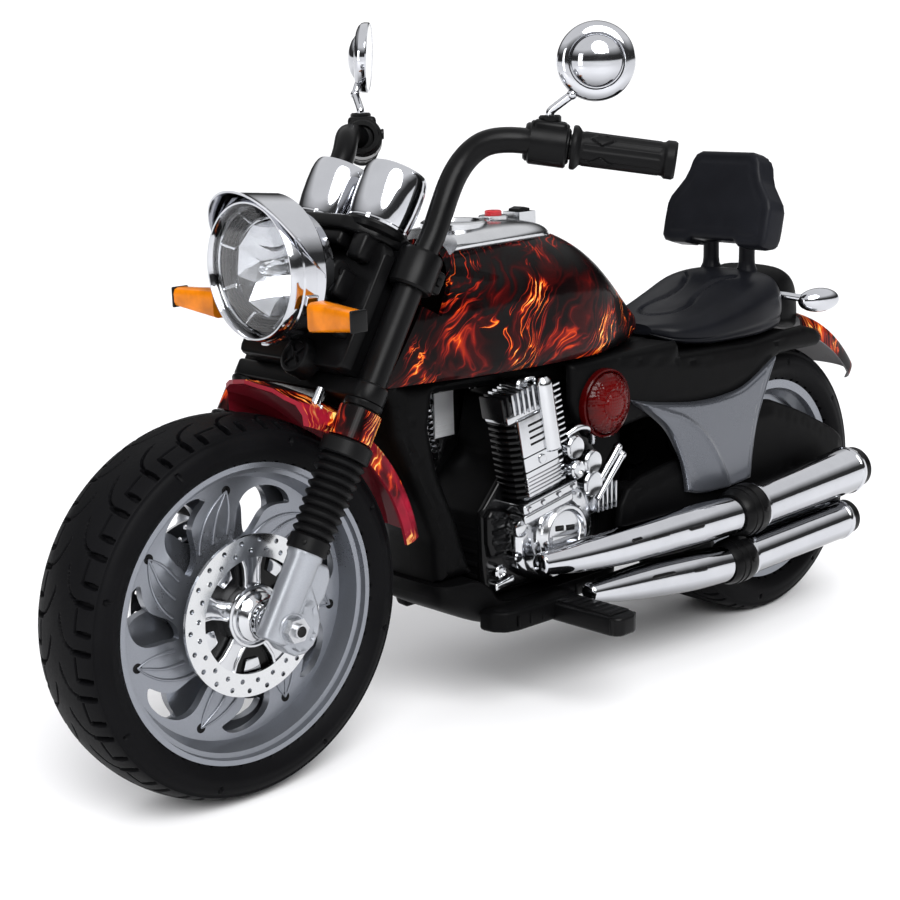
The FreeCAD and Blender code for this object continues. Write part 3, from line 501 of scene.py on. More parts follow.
def tube(pts, rad, n=14, cap=True, flat=1.0, round_end=False):
    """Round bar through points in metres; rad in mm, one value or one per point."""
    if not hasattr(rad, "__len__"):
        rad = [rad] * len(pts)
    vs, fs = [], []
    fr = frames(pts)
    for (p, t, a, b), r in zip(fr, rad):
        for i in range(n):
            th = 2 * PI * i / n
            vs.append(p + (a * math.cos(th) + b * math.sin(th) * flat) * (r * MM))
    m = len(pts)
    for k in range(m - 1):
        for i in range(n):
            j = (i + 1) % n
            fs.append((k * n + i, k * n + j, (k + 1) * n + j, (k + 1) * n + i))
    if cap:
        fs.append(tuple(range(n))[::-1])
        fs.append(tuple((m - 1) * n + i for i in range(n)))
    return vs, fs


def curve(pts, per=8, closed=False):
    """Catmull-Rom line through points (any length of tuple)."""
    pts = [np.array(p, float) for p in pts]
    n = len(pts)
    out = []
    rng = range(n) if closed else range(n - 1)
    for i in rng:
        if closed:
            a, b, c, d = pts[(i - 1) % n], pts[i], pts[(i + 1) % n], pts[(i + 2) % n]
        else:
            a, b, c, d = pts[max(i - 1, 0)], pts[i], pts[i + 1], pts[min(i + 2, n - 1)]
        for k in range(per):
            t = k / per
            out.append(0.5 * (2 * b + (c - a) * t + (2 * a - 5 * b + 4 * c - d) * t * t + (3 * b - a - 3 * c + d) * t ** 3))
    if not closed:
        out.append(pts[-1])
    return out


def prism(outline, vec, bevel=0.0, seg=3, lim=28.0):
    """Plate: a flat outline in metres pushed along vec in metres, with rounded edges (bevel in mm)."""
    bm = bmesh.new()
    vs = [bm.verts.new(p) for p in outline]
    f = bm.faces.new(vs)
    r = bmesh.ops.extrude_face_region(bm, geom=[f])
    top = [g for g in r["geom"] if isinstance(g, bmesh.types.BMVert)]
    bmesh.ops.translate(bm, vec=Vector(vec), verts=top)
    bmesh.ops.recalc_face_normals(bm, faces=bm.faces)
    return finish_bm(bm, bevel, seg, lim)


def finish_bm(bm, bevel, seg=3, lim=28.0):
    if bevel:
        bm.normal_update()
        es = [e for e in bm.edges if len(e.link_faces) == 2 and e.calc_face_angle(0) > math.radians(lim)]
        bmesh.ops.bevel(bm, geom=es, offset=bevel * MM, segments=seg, profile=0.5, affect="EDGES", clamp_overlap=True)
    bm.verts.index_update()
    v = [tuple(q.co) for q in bm.verts]
    fs = [tuple(q.index for q in g.verts) for g in bm.faces]
    bm.free()
    return v, fs


def block(c, ex, ey, ez, sx, sy, sz, bevel=1.0, seg=3):
    """Box about c with axes ex, ey, ez and full sizes in mm, edges rounded."""
    c, ex, ey, ez = Vector(c), Vector(ex).normalized(), Vector(ey).normalized(), Vector(ez).normalized()
    a, b, d = ex * sx * MM / 2, ey * sy * MM / 2, ez * sz * MM / 2
    return prism([c - a - b - d, c + a - b - d, c + a + b - d, c - a + b - d], d * 2, bevel, seg)


def grid(fn, nu, nv, cu=False, cv=False):
    vs = [fn(i / (nu if cu else nu - 1), j / (nv if cv else nv - 1)) for i in range(nu) for j in range(nv)]
    fs = []
    for i in range(nu if cu else nu - 1):
        for j in range(nv if cv else nv - 1):
            a, b = i, (i + 1) % nu
            c, d = j, (j + 1) % nv
            fs.append((a * nv + c, b * nv + c, b * nv + d, a * nv + d))
    return vs, fs


def smooth01(x, a, b):
    t = np.clip((x - a) / (b - a), 0.0, 1.0)
    return t * t * (3 - 2 * t)


# ------------------------------------------------------------------ tyres
def tyre(name, node, c, prof_line, r_in, half, pairs, tread_y, body, dots, depth=4.2, phase=0.0):
    """Treaded tyre: boat-shaped shoulder slots in pairs, a link sipe and a long curved sipe per pair, a stepped tread edge."""
    line = np.array(curve(prof_line, 10))
    s = np.concatenate([[0], np.cumsum(np.hypot(*np.diff(line, axis=0).T))])
    # close spacing over the tread, wider on the walls
    dense = np.where(np.abs(np.interp(np.linspace(0, s[-1], 400), s, line[:, 0])) < tread_y * 1.04, 1.0, 0.55)
    dense *= np.where(np.interp(np.linspace(0, s[-1], 400), s, line[:, 1]) > r_in + 0.5 * (line[:, 1].max() - r_in), 1.0, 0.7)
    cum = np.concatenate([[0], np.cumsum(dense)])
    m = 118
    q = np.interp(np.linspace(0, cum[-1], m), cum, np.linspace(0, s[-1], 401))
    py, pr = np.interp(q, s, line[:, 0]), np.interp(q, s, line[:, 1])
    ty, tr = np.gradient(py, q), np.gradient(pr, q)
    L = np.hypot(ty, tr)
    ny, nr = -tr / L, ty / L          # outward in the section plane
    nphi = pairs * 50
    phi = np.arange(nphi) / nphi * 2 * PI
    Y, PH = np.meshgrid(py, phi)
    side = np.where(Y >= 0, 1.0, -1.0)
    ay = np.abs(Y) / tread_y          # 0 on the middle line, 1 at the tread edge
    per = 2 * PI / pairs
    ph = np.where(side > 0, PH, PH + per * 0.5) - phase
    rt = pr.max()

    def away(at):
        """distance along the tread, in mm, from the angle `at` of the nearest repeat"""
        u = ((ph - at) / per + 0.5) % 1.0 - 0.5
        return u * per * rt

    def slot(at, inner, width):
        k = np.clip((ay - inner) / (1.0 - inner), 0, 1)
        d = away(at) + 0.9 * (k - 0.5)
        w = width * (0.30 + 0.70 * np.sin(PI * np.clip(0.10 + 0.72 * k, 0, 1)))
        up = np.where(d > 0, smooth01(np.abs(d), w * 0.80, w * 1.0), smooth01(np.abs(d), w * 0.35, w * 1.25))
        return (1 - up) * smooth01(ay, inner - 0.02, inner + 0.02) * (1 - smooth01(ay, 0.93, 0.965))

    gA = slot(0.0, 0.50, 2.7)
    gB = slot(-0.60 * per, 0.60, 2.6)
    # long sipe: from the inner end of slot A inwards and then along the tread
    t = np.clip((0.52 - ay) / 0.40, 0, 1)
    lead = per * (0.06 + 0.10 * t + 0.52 * t ** 2.6)
    slope = 1.0 / np.sqrt(1 + (per * rt * (0.10 + 1.35 * t ** 1.6) / (0.40 * tread_y)) ** 2)
    g2 = (1 - smooth01(np.abs(away(lead)) * slope, 0.50, 1.15)) * smooth01(ay, 0.11, 0.15) * (1 - smooth01(ay, 0.52, 0.55))
    # link sipe: from slot B straight along the tread to slot A
    u = ((ph + 0.60 * per) / per) % 1.0
    g3 = (1 - smooth01(np.abs(ay - 0.605) * tread_y, 0.50, 1.15)) * (u < 0.50)
    inside = ay < 1.005
    dep = np.maximum.reduce([gA * depth, gB * depth, g2 * depth * 0.55, g3 * depth * 0.32]) * inside
    # beyond the tread edge the wall steps in; the lip keeps a small round edge
    high = pr[None, :] > (r_in + 0.40 * (rt - r_in))
    dep = np.maximum(dep, smooth01(ay, 0.985, 1.02) * 1.7 * high)
    # small screw holes in the wall
    for (dr, da) in dots:
        dd = np.hypot((pr[None, :] - dr), dr * ((PH - da + PI) % (2 * PI) - PI))
        dep = np.maximum(dep, (1 - smooth01(dd, 2.0, 2.8)) * 4.2 * (np.abs(Y) > half * 0.80))
    R = pr[None, :] - nr[None, :] * dep
    YY = Y - ny[None, :] * dep
    X3 = R * np.cos(PH)
    Z3 = R * np.sin(PH)
    V = np.stack([c.x + X3 * MM, c.y + YY * MM, c.z + Z3 * MM], -1).reshape(-1, 3)
    idx = np.arange(nphi * m).reshape(nphi, m)
    a = idx
    b = np.roll(idx, -1, 0)
    fs = np.stack([a[:, :-1], b[:, :-1], b[:, 1:], a[:, 1:]], -1).reshape(-1, 4)
    # inner wall, hidden behind the rim
    inner = np.stack([a[:, -1], b[:, -1], b[:, 0], a[:, 0]], -1)
    faces = [tuple(int(z) for z in q) for q in np.concatenate([fs, inner])]
    return piece(name, [(V.tolist(), faces)], M_TYRE, body, 50.0, (node,))


tyre("front_tyre_tread", "front_tyre", P(0, 0, 165),
     [(-38, 129), (-42.5, 136), (-45.3, 146), (-40.5, 155.5), (-28, 161.3), (-14, 164.1), (0, 165), (14, 164.1), (28, 161.3), (40.5, 155.5), (45.3, 146), (42.5, 136), (38, 129)],
     129.0, 45.5, 26, 40.5, "front_wheel", [(149.0, math.radians(18 + 45 * i)) for i in range(8)], 6.0, math.radians(2.3))
tyre("rear_tyre_tread", "rear_tyre", P(-706, 0, 148),
     [(-45, 110), (-51, 118), (-54, 129), (-50.5, 139), (-42, 145.9), (-28, 147.6), (0, 148), (28, 147.6), (42, 145.9), (50.5, 139), (54, 129), (51, 118), (45, 110)],
     110.0, 54.0, 24, 49.0, "rear_wheel", [(131.0, math.radians(10 + 45 * i)) for i in range(8)], 5.6, math.radians(4.0))

# ------------------------------------------------------------------ domed plates
def open_dist(pts, line):
    pts = np.asarray(pts, float)
    d = np.full(len(pts), 1e9)
    line = np.asarray(line, float)
    for p, q in zip(line[:-1], line[1:]):
        v = q - p
        t = np.clip(((pts - p) @ v) / max(v @ v, 1e-9), 0, 1)
        d = np.minimum(d, np.hypot(*(pts - p - t[:, None] * v).T))
    return d


def inside(pts, poly):
    x, y = pts[:, 0], pts[:, 1]
    c = np.zeros(len(pts), bool)
    for (x0, y0), (x1, y1) in zip(poly, np.roll(poly, -1, 0)):
        if y0 == y1:
            continue
        c ^= ((y0 > y) != (y1 > y)) & (x < (x1 - x0) * (y - y0) / (y1 - y0) + x0)
    return c


def resample(poly, step):
    out = []
    n = len(poly)
    for i in range(n):
        p, q = np.array(poly[i], float), np.array(poly[(i + 1) % n], float)
        k = max(1, int(math.ceil(np.linalg.norm(q - p) / step)))
        out += [p + (q - p) * j / k for j in range(k)]
    return np.array(out)


def pillow(poly, to3d, y0, y1, R, step=5.0, bulge=0.0, reach=20.0, extra=None, edge=1.0):
    """Plate with a rounded, optionally domed face: flat outline in mm, face height from the distance to its edge."""
    b = resample(poly, step * edge)
    if np.sum(b[:, 0] * np.roll(b[:, 1], -1) - np.roll(b[:, 0], -1) * b[:, 1]) < 0:
        b = b[::-1].copy()
    nb = len(b)
    loop = np.vstack([b, b[:1]])
    t = np.roll(b, -1, 0) - np.roll(b, 1, 0)
    t /= np.maximum(1e-9, np.hypot(*t.T))[:, None]
    nrm = np.stack([-t[:, 1], t[:, 0]], -1)
    rings = []
    for k in (0.07, 0.22, 0.48, 0.8):
        q = b + nrm * R * k
        q = q[inside(q, b)]
        rings.append(q[open_dist(q, loop) > R * k * 0.93])
    lo, hi = b.min(0), b.max(0)
    gx, gz = np.meshgrid(np.arange(lo[0], hi[0] + step, step), np.arange(lo[1], hi[1] + step, step * 0.9))
    gx = gx + (np.arange(gx.shape[0]) % 2)[:, None] * step * 0.5
    g = np.stack([gx.ravel(), gz.ravel()], -1)
    g = g[inside(g, b)]
    dg = open_dist(g, loop)
    ring = np.concatenate(rings)
    near = np.array([np.min(np.hypot(*(ring - p).T)) if d < R * 1.2 else 1e9 for p, d in zip(g, dg)])
    g = g[(dg > step * 0.45) & (near > step * 0.5)]
    pts = np.concatenate([b, ring, g])
    res = delaunay_2d_cdt([Vector(p) for p in pts], [], [list(range(nb))], 1, 1e-5)
    v2 = np.array([tuple(v) for v in res[0]])
    tri = [tuple(f) for f in res[2]]
    d = open_dist(v2, loop)
    dd = np.minimum(d, R)
    h = y1 - R + np.sqrt(np.maximum(0.0, R * R - (R - dd) ** 2)) + bulge * (1 - np.exp(-(d / reach) ** 2))
    if extra is not None:
        h = h + extra(v2[:, 0], v2[:, 1], d) * np.clip(d / 2.0, 0, 1)
    n = len(v2)
    vs = [to3d(x, z, q) for (x, z), q in zip(v2, h)] + [to3d(x, z, y0) for x, z in v2]
    fs = tri + [tuple(i + n for i in reversed(f)) for f in tri]
    cnt = {}
    for f in tri:
        for i, j in zip(f, f[1:] + f[:1]):
            cnt[(min(i, j), max(i, j))] = cnt.get((min(i, j), max(i, j)), 0) + 1
    for f in tri:
        for i, j in zip(f, f[1:] + f[:1]):
            if cnt[(min(i, j), max(i, j))] == 1:
                fs.append((j, i, i + n, j + n))
    return vs, fs


def side3(x, z, y):
    return P(x, y, z)


def ball(c, r, n=20, squash=1.0, axis=ZX):
    prof = [(-r * squash * math.cos(PI * i / 10), r * math.sin(PI * i / 10)) for i in range(11)]
    prof[0], prof[-1] = (-r * squash, 0), (r * squash, 0)
    return lathe(prof, Vector(c), axis, Vector(axis).orthogonal(), n)


def disc(c, d, r, h, n=32, edge=0.8):
    """Round button with softened rims."""
    return lathe([(0, 0), (0, r), (h - edge, r), (h - edge * 0.3, r - edge * 0.3), (h, r - edge), (h, 0)], Vector(c), d, Vector(d).orthogonal(), n)


# ------------------------------------------------------------------ frame mouldings
FRAME_LINE = [(-160, 318), (-146.1, 329.0), (-189.6, 400.9), (-204.2, 392.1), (-168, 341), (-182, 334), (-396, 332), (-396, 329), (-516, 329),
              (-516, 306), (-470, 306), (-470, 200), (-456, 112), (-400, 112), (-404, 200), (-400, 300), (-330, 312), (-214, 318),
              (-209, 290), (-217, 250), (-238, 200), (-255, 150), (-262, 140), (-214, 140), (-212, 180), (-198, 215), (-181, 250), (-165, 285)]
FRONT_EDGE = [(-160, 318), (-165, 285), (-181, 250), (-198, 215), (-212, 180), (-214, 140)]
REAR_EDGE = [(-207, 318), (-203, 290), (-213, 250), (-236, 200), (-255, 150)]


def frame_marks(x, z, d):
    p = np.stack([x, z], -1)
    q = open_dist(p, FRONT_EDGE)
    e = -2.6 * np.exp(-((q - 11.0) / 1.6) ** 2)
    for sx, sz in ((-183, 300), (-192, 262), (-215, 205), (-234, 160)):
        e -= 2.5 * np.exp(-(np.hypot(x - sx, z - sz) / 2.6) ** 4)
    return e


ARM = [(-446, 122), (-446, 190), (-560, 212), (-655, 244), (-700, 236), (-757, 212), (-806, 186), (-814, 166), (-800, 140), (-700, 120), (-560, 106)]


def arm_marks(x, z, d):
    return 3.0 * smooth01(d, 9.0, 12.0) - 1.6 * np.exp(-((np.hypot(x + 706, z - 148) - 20) / 2.0) ** 2)


shell = pillow(FRAME_LINE, side3, 0.05, 42.0, 15.0, 4.0, extra=frame_marks)
arm_p = pillow(curve(ARM, 4, True), side3, 60.0, 66.5, 4.0, 6.0, extra=arm_marks)
link = block(P(-457.5, 52.5, 159), XX, YX, ZX, 23, 29, 66, 4.0)
left = [shell, arm_p, link]
piece("frame_shell_left", left, M_FRAME, "chassis", 35, ("frame_left",))
piece("frame_shell_right", [mirrored(p) for p in left], M_FRAME, "chassis", 35, ("frame_right",))


# belly pan: round-bottomed tray with a step in front
def loft(rows, shape, per=6, around=5, body_ends=True):
    """Skin through cross sections (x, half width, bottom, top); shape runs from bottom middle to top middle."""
    rr = np.array(curve(rows, per))
    sh = curve(shape, around)
    half = [(float(a), float(b)) for a, b in sh]
    ring = half + [(-a, b) for a, b in reversed(half[1:-1])]
    vs, fs = [], []
    n = len(ring)
    for x, wd, zb, zt in rr:
        for a, b in ring:
            vs.append(P(x, a * wd, zb + b * (zt - zb)))
    m = len(rr)
    for i in range(m - 1):
        for j in range(n):
            k = (j + 1) % n
            fs.append((i * n + j, i * n + k, (i + 1) * n + k, (i + 1) * n + j))
    fs.append(tuple(range(n))[::-1])
    fs.append(tuple((m - 1) * n + j for j in range(n)))
    return vs, fs


PAN = [(0, 0), (0.5, 0.0), (0.78, 0.06), (0.95, 0.30), (1.0, 0.62), (0.97, 0.93), (0.9, 1.0), (0, 1.0)]
pan = loft([(-209, 34, 128, 139), (-214, 44, 117, 139.6), (-226, 50, 109, 139.8), (-246, 54, 99, 139.8), (-262, 56, 92, 130), (-280, 57, 88.6, 114), (-340, 57, 88.3, 112), (-404, 57, 88.6, 111.8), (-432, 55, 94, 111.8), (-444, 48, 98, 111)], PAN)
ribs = [block(P(-300 - 26 * i, 57.2, 101), XX, YX, ZX, 3, 2.4, 14, 0.8, 2) for i in range(5)]
screws = [disc(P(x, 56.3, 103), YX, 3.2, 1.6) for x in (-290, -380, -425)]
piece("belly_tray", [pan] + both(ribs + screws), M_FRAME, "chassis", 40, ("belly_pan",))

# ------------------------------------------------------------------ seat base, seat, backrest, tail
SKIRT = [(-362, 328), (-440, 328.5), (-521, 329), (-523.4, 316), (-580, 314.2), (-640, 312.5), (-700, 315.5), (-735, 316.6), (-756, 311), (-769, 302), (-762, 291), (-726, 292), (-690, 291), (-664, 280), (-640, 265), (-600, 258), (-560, 256), (-515, 257), (-470, 258), (-440, 255), (-420, 251), (-396, 249), (-382, 255), (-370, 272), (-362, 292)]


def skirt_marks(x, z, d):
    e = 1.2 * smooth01(d, 8, 16)
    q = open_dist(np.stack([x, z], -1), [(-430, 322), (-500, 312), (-560, 303), (-640, 303), (-700, 307)])
    return e - 1.6 * np.exp(-(q / 1.3) ** 2)


sk = pillow(SKIRT, side3, 61.5, 70.0, 8.0, 4.5, extra=skirt_marks)
deck = [block(P(-622, 0, 309.2), XX, YX, ZX, 200, 128, 8, 2), block(P(-441, 0, 326.5), XX, YX, ZX, 150, 128, 4, 1.5)]
piece("seat_skirt", both([sk]) + deck, M_FRAME, "chassis", 35, ("seat_base",))

SEAT_ROWS = [(-523, 30, 330.2, 341), (-540, 50, 322, 344), (-575, 62, 316, 351), (-615, 69, 315, 363), (-655, 71, 315, 377), (-690, 66, 317, 379), (-706, 58, 319, 375)]
SK = [(0, 0), (0.7, 0.0), (0.95, 0.08), (1.0, 0.34), (0.96, 0.66), (0.78, 0.9), (0.4, 0.985), (0, 0.99)]
GROOVE = [(-553, 3), (-559, 15), (-573, 24), (-592, 24), (-610, 17), (-628, 15), (-645, 22), (-657, 33)]


def seat_mesh():
    rows = np.array(curve(SEAT_ROWS, 16))
    half = np.array(curve(SK, 12))
    ring = np.vstack([half, [[-a, b] for a, b in half[-2:0:-1]]])
    n = len(ring)
    V = []
    for x, wd, zb, zt in rows:
        V.append(np.stack([np.full(n, x), ring[:, 0] * wd, zb + ring[:, 1] * (zt - zb), ring[:, 1]], -1))
    V = np.array(V)
    x, y, z, k = (V[..., i] for i in range(4))
    gl = np.array(curve(GROOVE, 8))
    top = smooth01(k, 0.55, 0.75)
    flat = np.stack([x.ravel(), np.abs(y).ravel()], -1)
    q = open_dist(flat, gl).reshape(x.shape)
    z -= 3.6 * np.exp(-(q / 1.9) ** 2) * top
    # hollow for the rider and raised rim at the back
    z -= 3.5 * np.exp(-((x + 600) / 26) ** 2) * np.exp(-(y / 38) ** 2) * top
    z += 2.2 * np.exp(-((x + 678) / 16) ** 2) * np.exp(-(y / 44) ** 2) * top
    # piped seam low on the side
    y -= np.sign(y) * 1.5 * np.exp(-((k - 0.20) / 0.045) ** 2)
    vs = [P(a, b, c) for a, b, c in zip(x.ravel(), y.ravel(), z.ravel())]
    m = len(rows)
    fs = [(i * n + j, i * n + (j + 1) % n, (i + 1) * n + (j + 1) % n, (i + 1) * n + j) for i in range(m - 1) for j in range(n)]
    fs += [tuple(range(n))[::-1], tuple((m - 1) * n + j for j in range(n))]
    return vs, fs


piece("saddle", [seat_mesh()], M_SEAT, "chassis", 55, ("seat",))

LEAN = math.radians(15.0)
PU = Vector((-math.sin(LEAN), 0, math.cos(LEAN)))
PN = Vector((-math.cos(LEAN), 0, -math.sin(LEAN)))
BK0 = P(-657, 0, 408)
BHALF = [(28, 5.5), (34, 0.4), (56, 0), (65, 1.8), (69, 7), (69.4, 22), (69, 42), (66, 50.5), (58, 61), (51, 70.5), (47, 80), (44.5, 90), (40.5, 97), (33, 100.5)]
BOUT = BHALF + [(-y, v) for y, v in reversed(BHALF)]


def back_marks(y, v, d):
    return -0.9 * np.exp(-((d - 9) / 1.3) ** 2) + 0.8 * np.exp(-((v - 30) / 26) ** 2)


bf = pillow(BOUT, lambda y, v, h: BK0 + YX * (y * MM) + PU * (v * MM) + PN * ((22 - h) * MM), 0.0, 22.0, 4.5, 3.5, 1.0, 16.0, back_marks)
inset = [(y * 0.965, 1.6 + v * 0.965) for y, v in BOUT]
bb = pillow(inset, lambda y, v, h: BK0 + YX * (y * MM) + PU * (v * MM) + PN * ((21.5 + h) * MM), 0.0, 12.0, 5.0, 5.0)
posts = []
for yy in (24, -24):
    posts.append(lathe([(318.2, 0), (318.2, 13), (360, 12.5), (379, 11.5), (384, 9.2), (390, 8.6), (409, 8.4), (416, 8.4), (416, 0)], P(-689, yy, 0), ZX, YX, 32))
piece("back_pad", [bf, bb] + posts, M_SEAT, "chassis", 40, ("backrest",))

# ------------------------------------------------------------------ side covers
S_TOP = [(-437, 283), (-480, 273.5), (-542, 264.4), (-591, 263.9), (-628, 270), (-676, 292)]
S_RGT = [(-676, 292), (-660, 262), (-641, 218.7), (-632, 168)]
S_BOT = [(-632, 168), (-560, 166), (-527, 173)]
S_LFT = [(-527, 173), (-522, 197.5), (-510, 222), (-487, 250), (-437, 283)]
COVER = [tuple(p) for run in (S_TOP, S_RGT, S_BOT, S_LFT) for p in curve(run, 7)[:-1]]
RIDGE = [tuple(p) for p in curve([(-440, 281.5), (-480, 266), (-518, 251), (-548, 229), (-569, 203), (-584, 176), (-586, 160)], 8)]


def cover_marks(x, z, d):
    p = np.stack([x, z], -1)
    q = open_dist(p, RIDGE)
    rx = np.interp(-x, [-r[0] for r in RIDGE], [r[1] for r in RIDGE])
    below = z < rx
    fall = np.where(below, 0.16 * q, 0.055 * q)
    lip = 1.3 * np.exp(-(q / 2.2) ** 2)
    edge = open_dist(p, [tuple(v) for v in curve(S_RGT, 7)])
    return 4.5 - np.minimum(fall, 5.0) + lip - 2.5 * (1 - smooth01(edge, 9.0, 11.5))


cv = pillow(COVER, side3, 70.6, 77.0, 4.0, 1.7, extra=cover_marks)
piece("side_cover_panels", both([cv]), M_SLATE, "chassis", 28, ("side_covers",))


# ------------------------------------------------------------------ fork: yokes, cover, bracket, collars
def fork3(y, s, t):
    return F(s, t, y)


def yoke(s0, s1, bevel):
    o = [(20, -70), (20, 70)]
    for i in range(11):
        a = math.radians(10 + 190 * i / 10)
        o.append((LEG_T + 16.5 * math.cos(a), LEG_Y + 16.5 * math.sin(a)))
    o += [(-20, 66), (-44, 26), (-53, 14), (-53, -14), (-44, -26), (-20, -66)]
    for i in range(11):
        a = math.radians(-200 + 190 * i / 10)
        o.append((LEG_T + 16.5 * math.cos(a), -LEG_Y + 16.5 * math.sin(a)))
    return prism([F(s0, t, y) for t, y in o], AX * ((s1 - s0) * MM), bevel, 3, 20)


lo = [yoke(195.5, 212, 2.6)]
for yy in (LEG_Y, -LEG_Y):
    lo.append(lathe([(190.5, 12.6), (190.5, 15.5), (193, 16.8), (195.6, 16.8)], F(0, LEG_T, yy), AX, YX, 40))
lo.append(lathe([(189, 0), (189, 8.5), (191, 9.5), (195.6, 9.5)], F(0, STEM_T0, 0), AX, YX, 6))
piece("yoke_low", lo, M_SATIN, "fork", 30, ("lower_yoke",))
hi_ = [yoke(306, 328, 3.2)]
for yy in (LEG_Y, -LEG_Y):
    hi_.append(lathe([(300, 12.6), (300, 17.5), (302, 19.5), (330, 19.5), (333, 18), (334, 11.2)], F(0, LEG_T, yy), AX, YX, 44))
    sgn = 1 if yy > 0 else -1
    hi_.append(block(F(316, LEG_T - 19, yy + sgn * 4), TX, YX, AX, 14, 13, 20, 2.5))
    hi_.append(disc(F(316, LEG_T - 19, yy + sgn * 10.4), YX * sgn, 4.2, 3.0, 6))
hi_.append(lathe([(328, 0), (328, 15), (333, 14), (336, 10), (336, 0)], F(0, STEM_T0, 0), AX, YX, 32))
piece("yoke_top", hi_, M_SATIN, "fork", 30, ("upper_yoke",))


def cover_front(y, s, d):
    return 1.4 * np.exp(-(y / 46) ** 2) - 0.9 * np.exp(-((s - 226) / 1.2) ** 2) * smooth01(d, 3, 8)


fc = [pillow([(-64, 214), (-58, 212), (58, 212), (64, 214), (64, 290), (58, 304), (50, 306), (-50, 306), (-58, 304), (-64, 290)], fork3, -2.0, 34.0, 3.0, 4.0, extra=cover_front)]
fc.append(pillow([(-70, 216), (-64, 212.5), (64, 212.5), (70, 216), (70, 318), (62, 327), (-62, 327), (-70, 318)], fork3, 24.0, 36.0, 2.0, 4.0))
fc.append(lathe([(0, 0), (0, 17), (14, 17), (17, 15.8), (18, 14), (18, 12.2), (15.5, 11.4), (15.5, 3.2), (17, 2.6), (17, 0)], F(216, 28, 18), TX, YX, 48))
for i in range(4):
    a = PI / 4 + PI / 2 * i
    fc.append(block(F(216, 44.4, 18) + (YX * math.cos(a) + AX * math.sin(a)) * 0.0074, YX * math.cos(a) + AX * math.sin(a), YX * -math.sin(a) + AX * math.cos(a), TX, 9.5, 2.2, 2.0, 0.5, 2))
for sg in (1, -1):
    fc.append(block(F(245.5, 49, sg * 58), TX, YX, AX, 52, 11.8, 15, 2.6))
    fc.append(block(F(284, 41, sg * 36), TX, YX, AX, 22, 20, 26, 4.0))
    fc.append(lathe([(-7, 0), (-7, 9), (-5.5, 10.2), (5.5, 10.2), (7, 9), (7, 0)], F(292, 50, sg * 36), YX, TX, 32))
    fc.append(disc(F(292, 50, sg * 43), YX * sg, 4.0, 2.0, 6))
    fc.append(block(F(262, 36, sg * 30), TX, YX, AX, 14, 26, 12, 2.5))
piece("fork_shroud", fc, M_SATIN, "fork", 32, ("fork_cover",))

br = [prism([F(328, t, y) for t, y in [(60, -30), (60, 30), (52, 44), (40, 56), (24, 62), (8, 63), (-20, 63), (-44, 26), (-44, -26), (-20, -63), (8, -63), (24, -62), (40, -56), (52, -44)]], AX * 0.013, 3.0, 3, 15)]
for yy in (35, -35):
    br.append(lathe([(334, 0), (334, 26), (336, 29.0), (340, 30.2), (342.5, 29.6), (343, 28.0), (343, 24)], F(0, 26, yy), AX, YX, 56))
br.append(block(F(322, 46, 0), TX, YX, AX, 20, 60, 14, 4.0))
br.append(block(F(318, 40, 47), TX, YX, AX, 22, 18, 24, 4.0))
br.append(block(F(318, 40, -47), TX, YX, AX, 22, 18, 24, 4.0))
piece("gauge_tray", br, M_SATIN, "fork", 30, ("gauge_bracket",))
cups = []
for yy in (35, -35):
    cups.append(lathe([(341, 0), (341, 24.6), (342.2, 26.8), (345, 27.6), (346.2, 27.0), (348, 27.4), (360, 28.7), (374, 29.2), (384, 29.0), (390.5, 28.2), (394.6, 26.9), (396.6, 25.6), (396.2, 24.9), (390.6, 25.2), (390.4, 0)], F(0, 26, yy), AX, YX, 96))
piece("gauge_shells", cups, M_CHROME, "fork", 30, ("gauge_cups",))

# wing screw under the lower yoke
wing = [lathe([(176, 0), (176, 4.6), (180, 5.2), (188, 4.0), (197, 4.0)], F(0, 22, 40), AX, YX, 20)]
for sg in (1, -1):
    wing.append(block(F(179, 22, 40 + sg * 6.5), YX, TX, AX, 8, 2.6, 8, 1.2))
piece("wing_screw", wing, M_CHROME, "fork", 30)

# fork legs: cast bracket with ribs and cap
LEGC = []
leg_line = [(0, -16), (-8, -19.5), (-17, -20), (-26, -15), (-31, -6), (-31.5, 6), (-28, 16), (-20, 26), (-10, 35), (0, 44)]


def leg3(t, s, y):
    return F(s, t, y)


lg = [lathe([(-16, 0), (-16, 11), (-14.5, 13.2), (-12, 14), (56, 14), (58, 15.2), (62, 15.2), (62, 0)], F(0, LEG_T, LEG_Y), AX, YX, 48)]
lg.append(pillow([(t, s) for t, s in leg_line], leg3, 69.0, 91.0, 5.0, 3.5, extra=lambda t, s, d: -2.0 * np.exp(-((d - 6.5) / 1.2) ** 2)))
lg.append(pillow([(2, 36), (-14, 25), (-24, 22), (-27.5, 34), (-26, 50), (-20, 59), (2, 59)], leg3, 74.0, 85.0, 3.0, 3.5))
lg.append(lathe([(90.5, 0), (90.5, 12.5), (91.5, 13), (92.6, 12.2), (92.6, 0)], P(0, 0, 165), YX, XX, 36))
piece("fork_castings", both(lg), M_SILVER, "fork", 32, ("fork_legs",))
ends = [lathe([(101.5, 0), (101.5, 4.8), (103.9, 4.8), (104.6, 4.3), (104.4, 3.4), (104.2, 0)], P(0, 0, 165), YX, XX, 32)]
piece("axle_plugs", both(ends), M_GLOSS, "fork", 32)


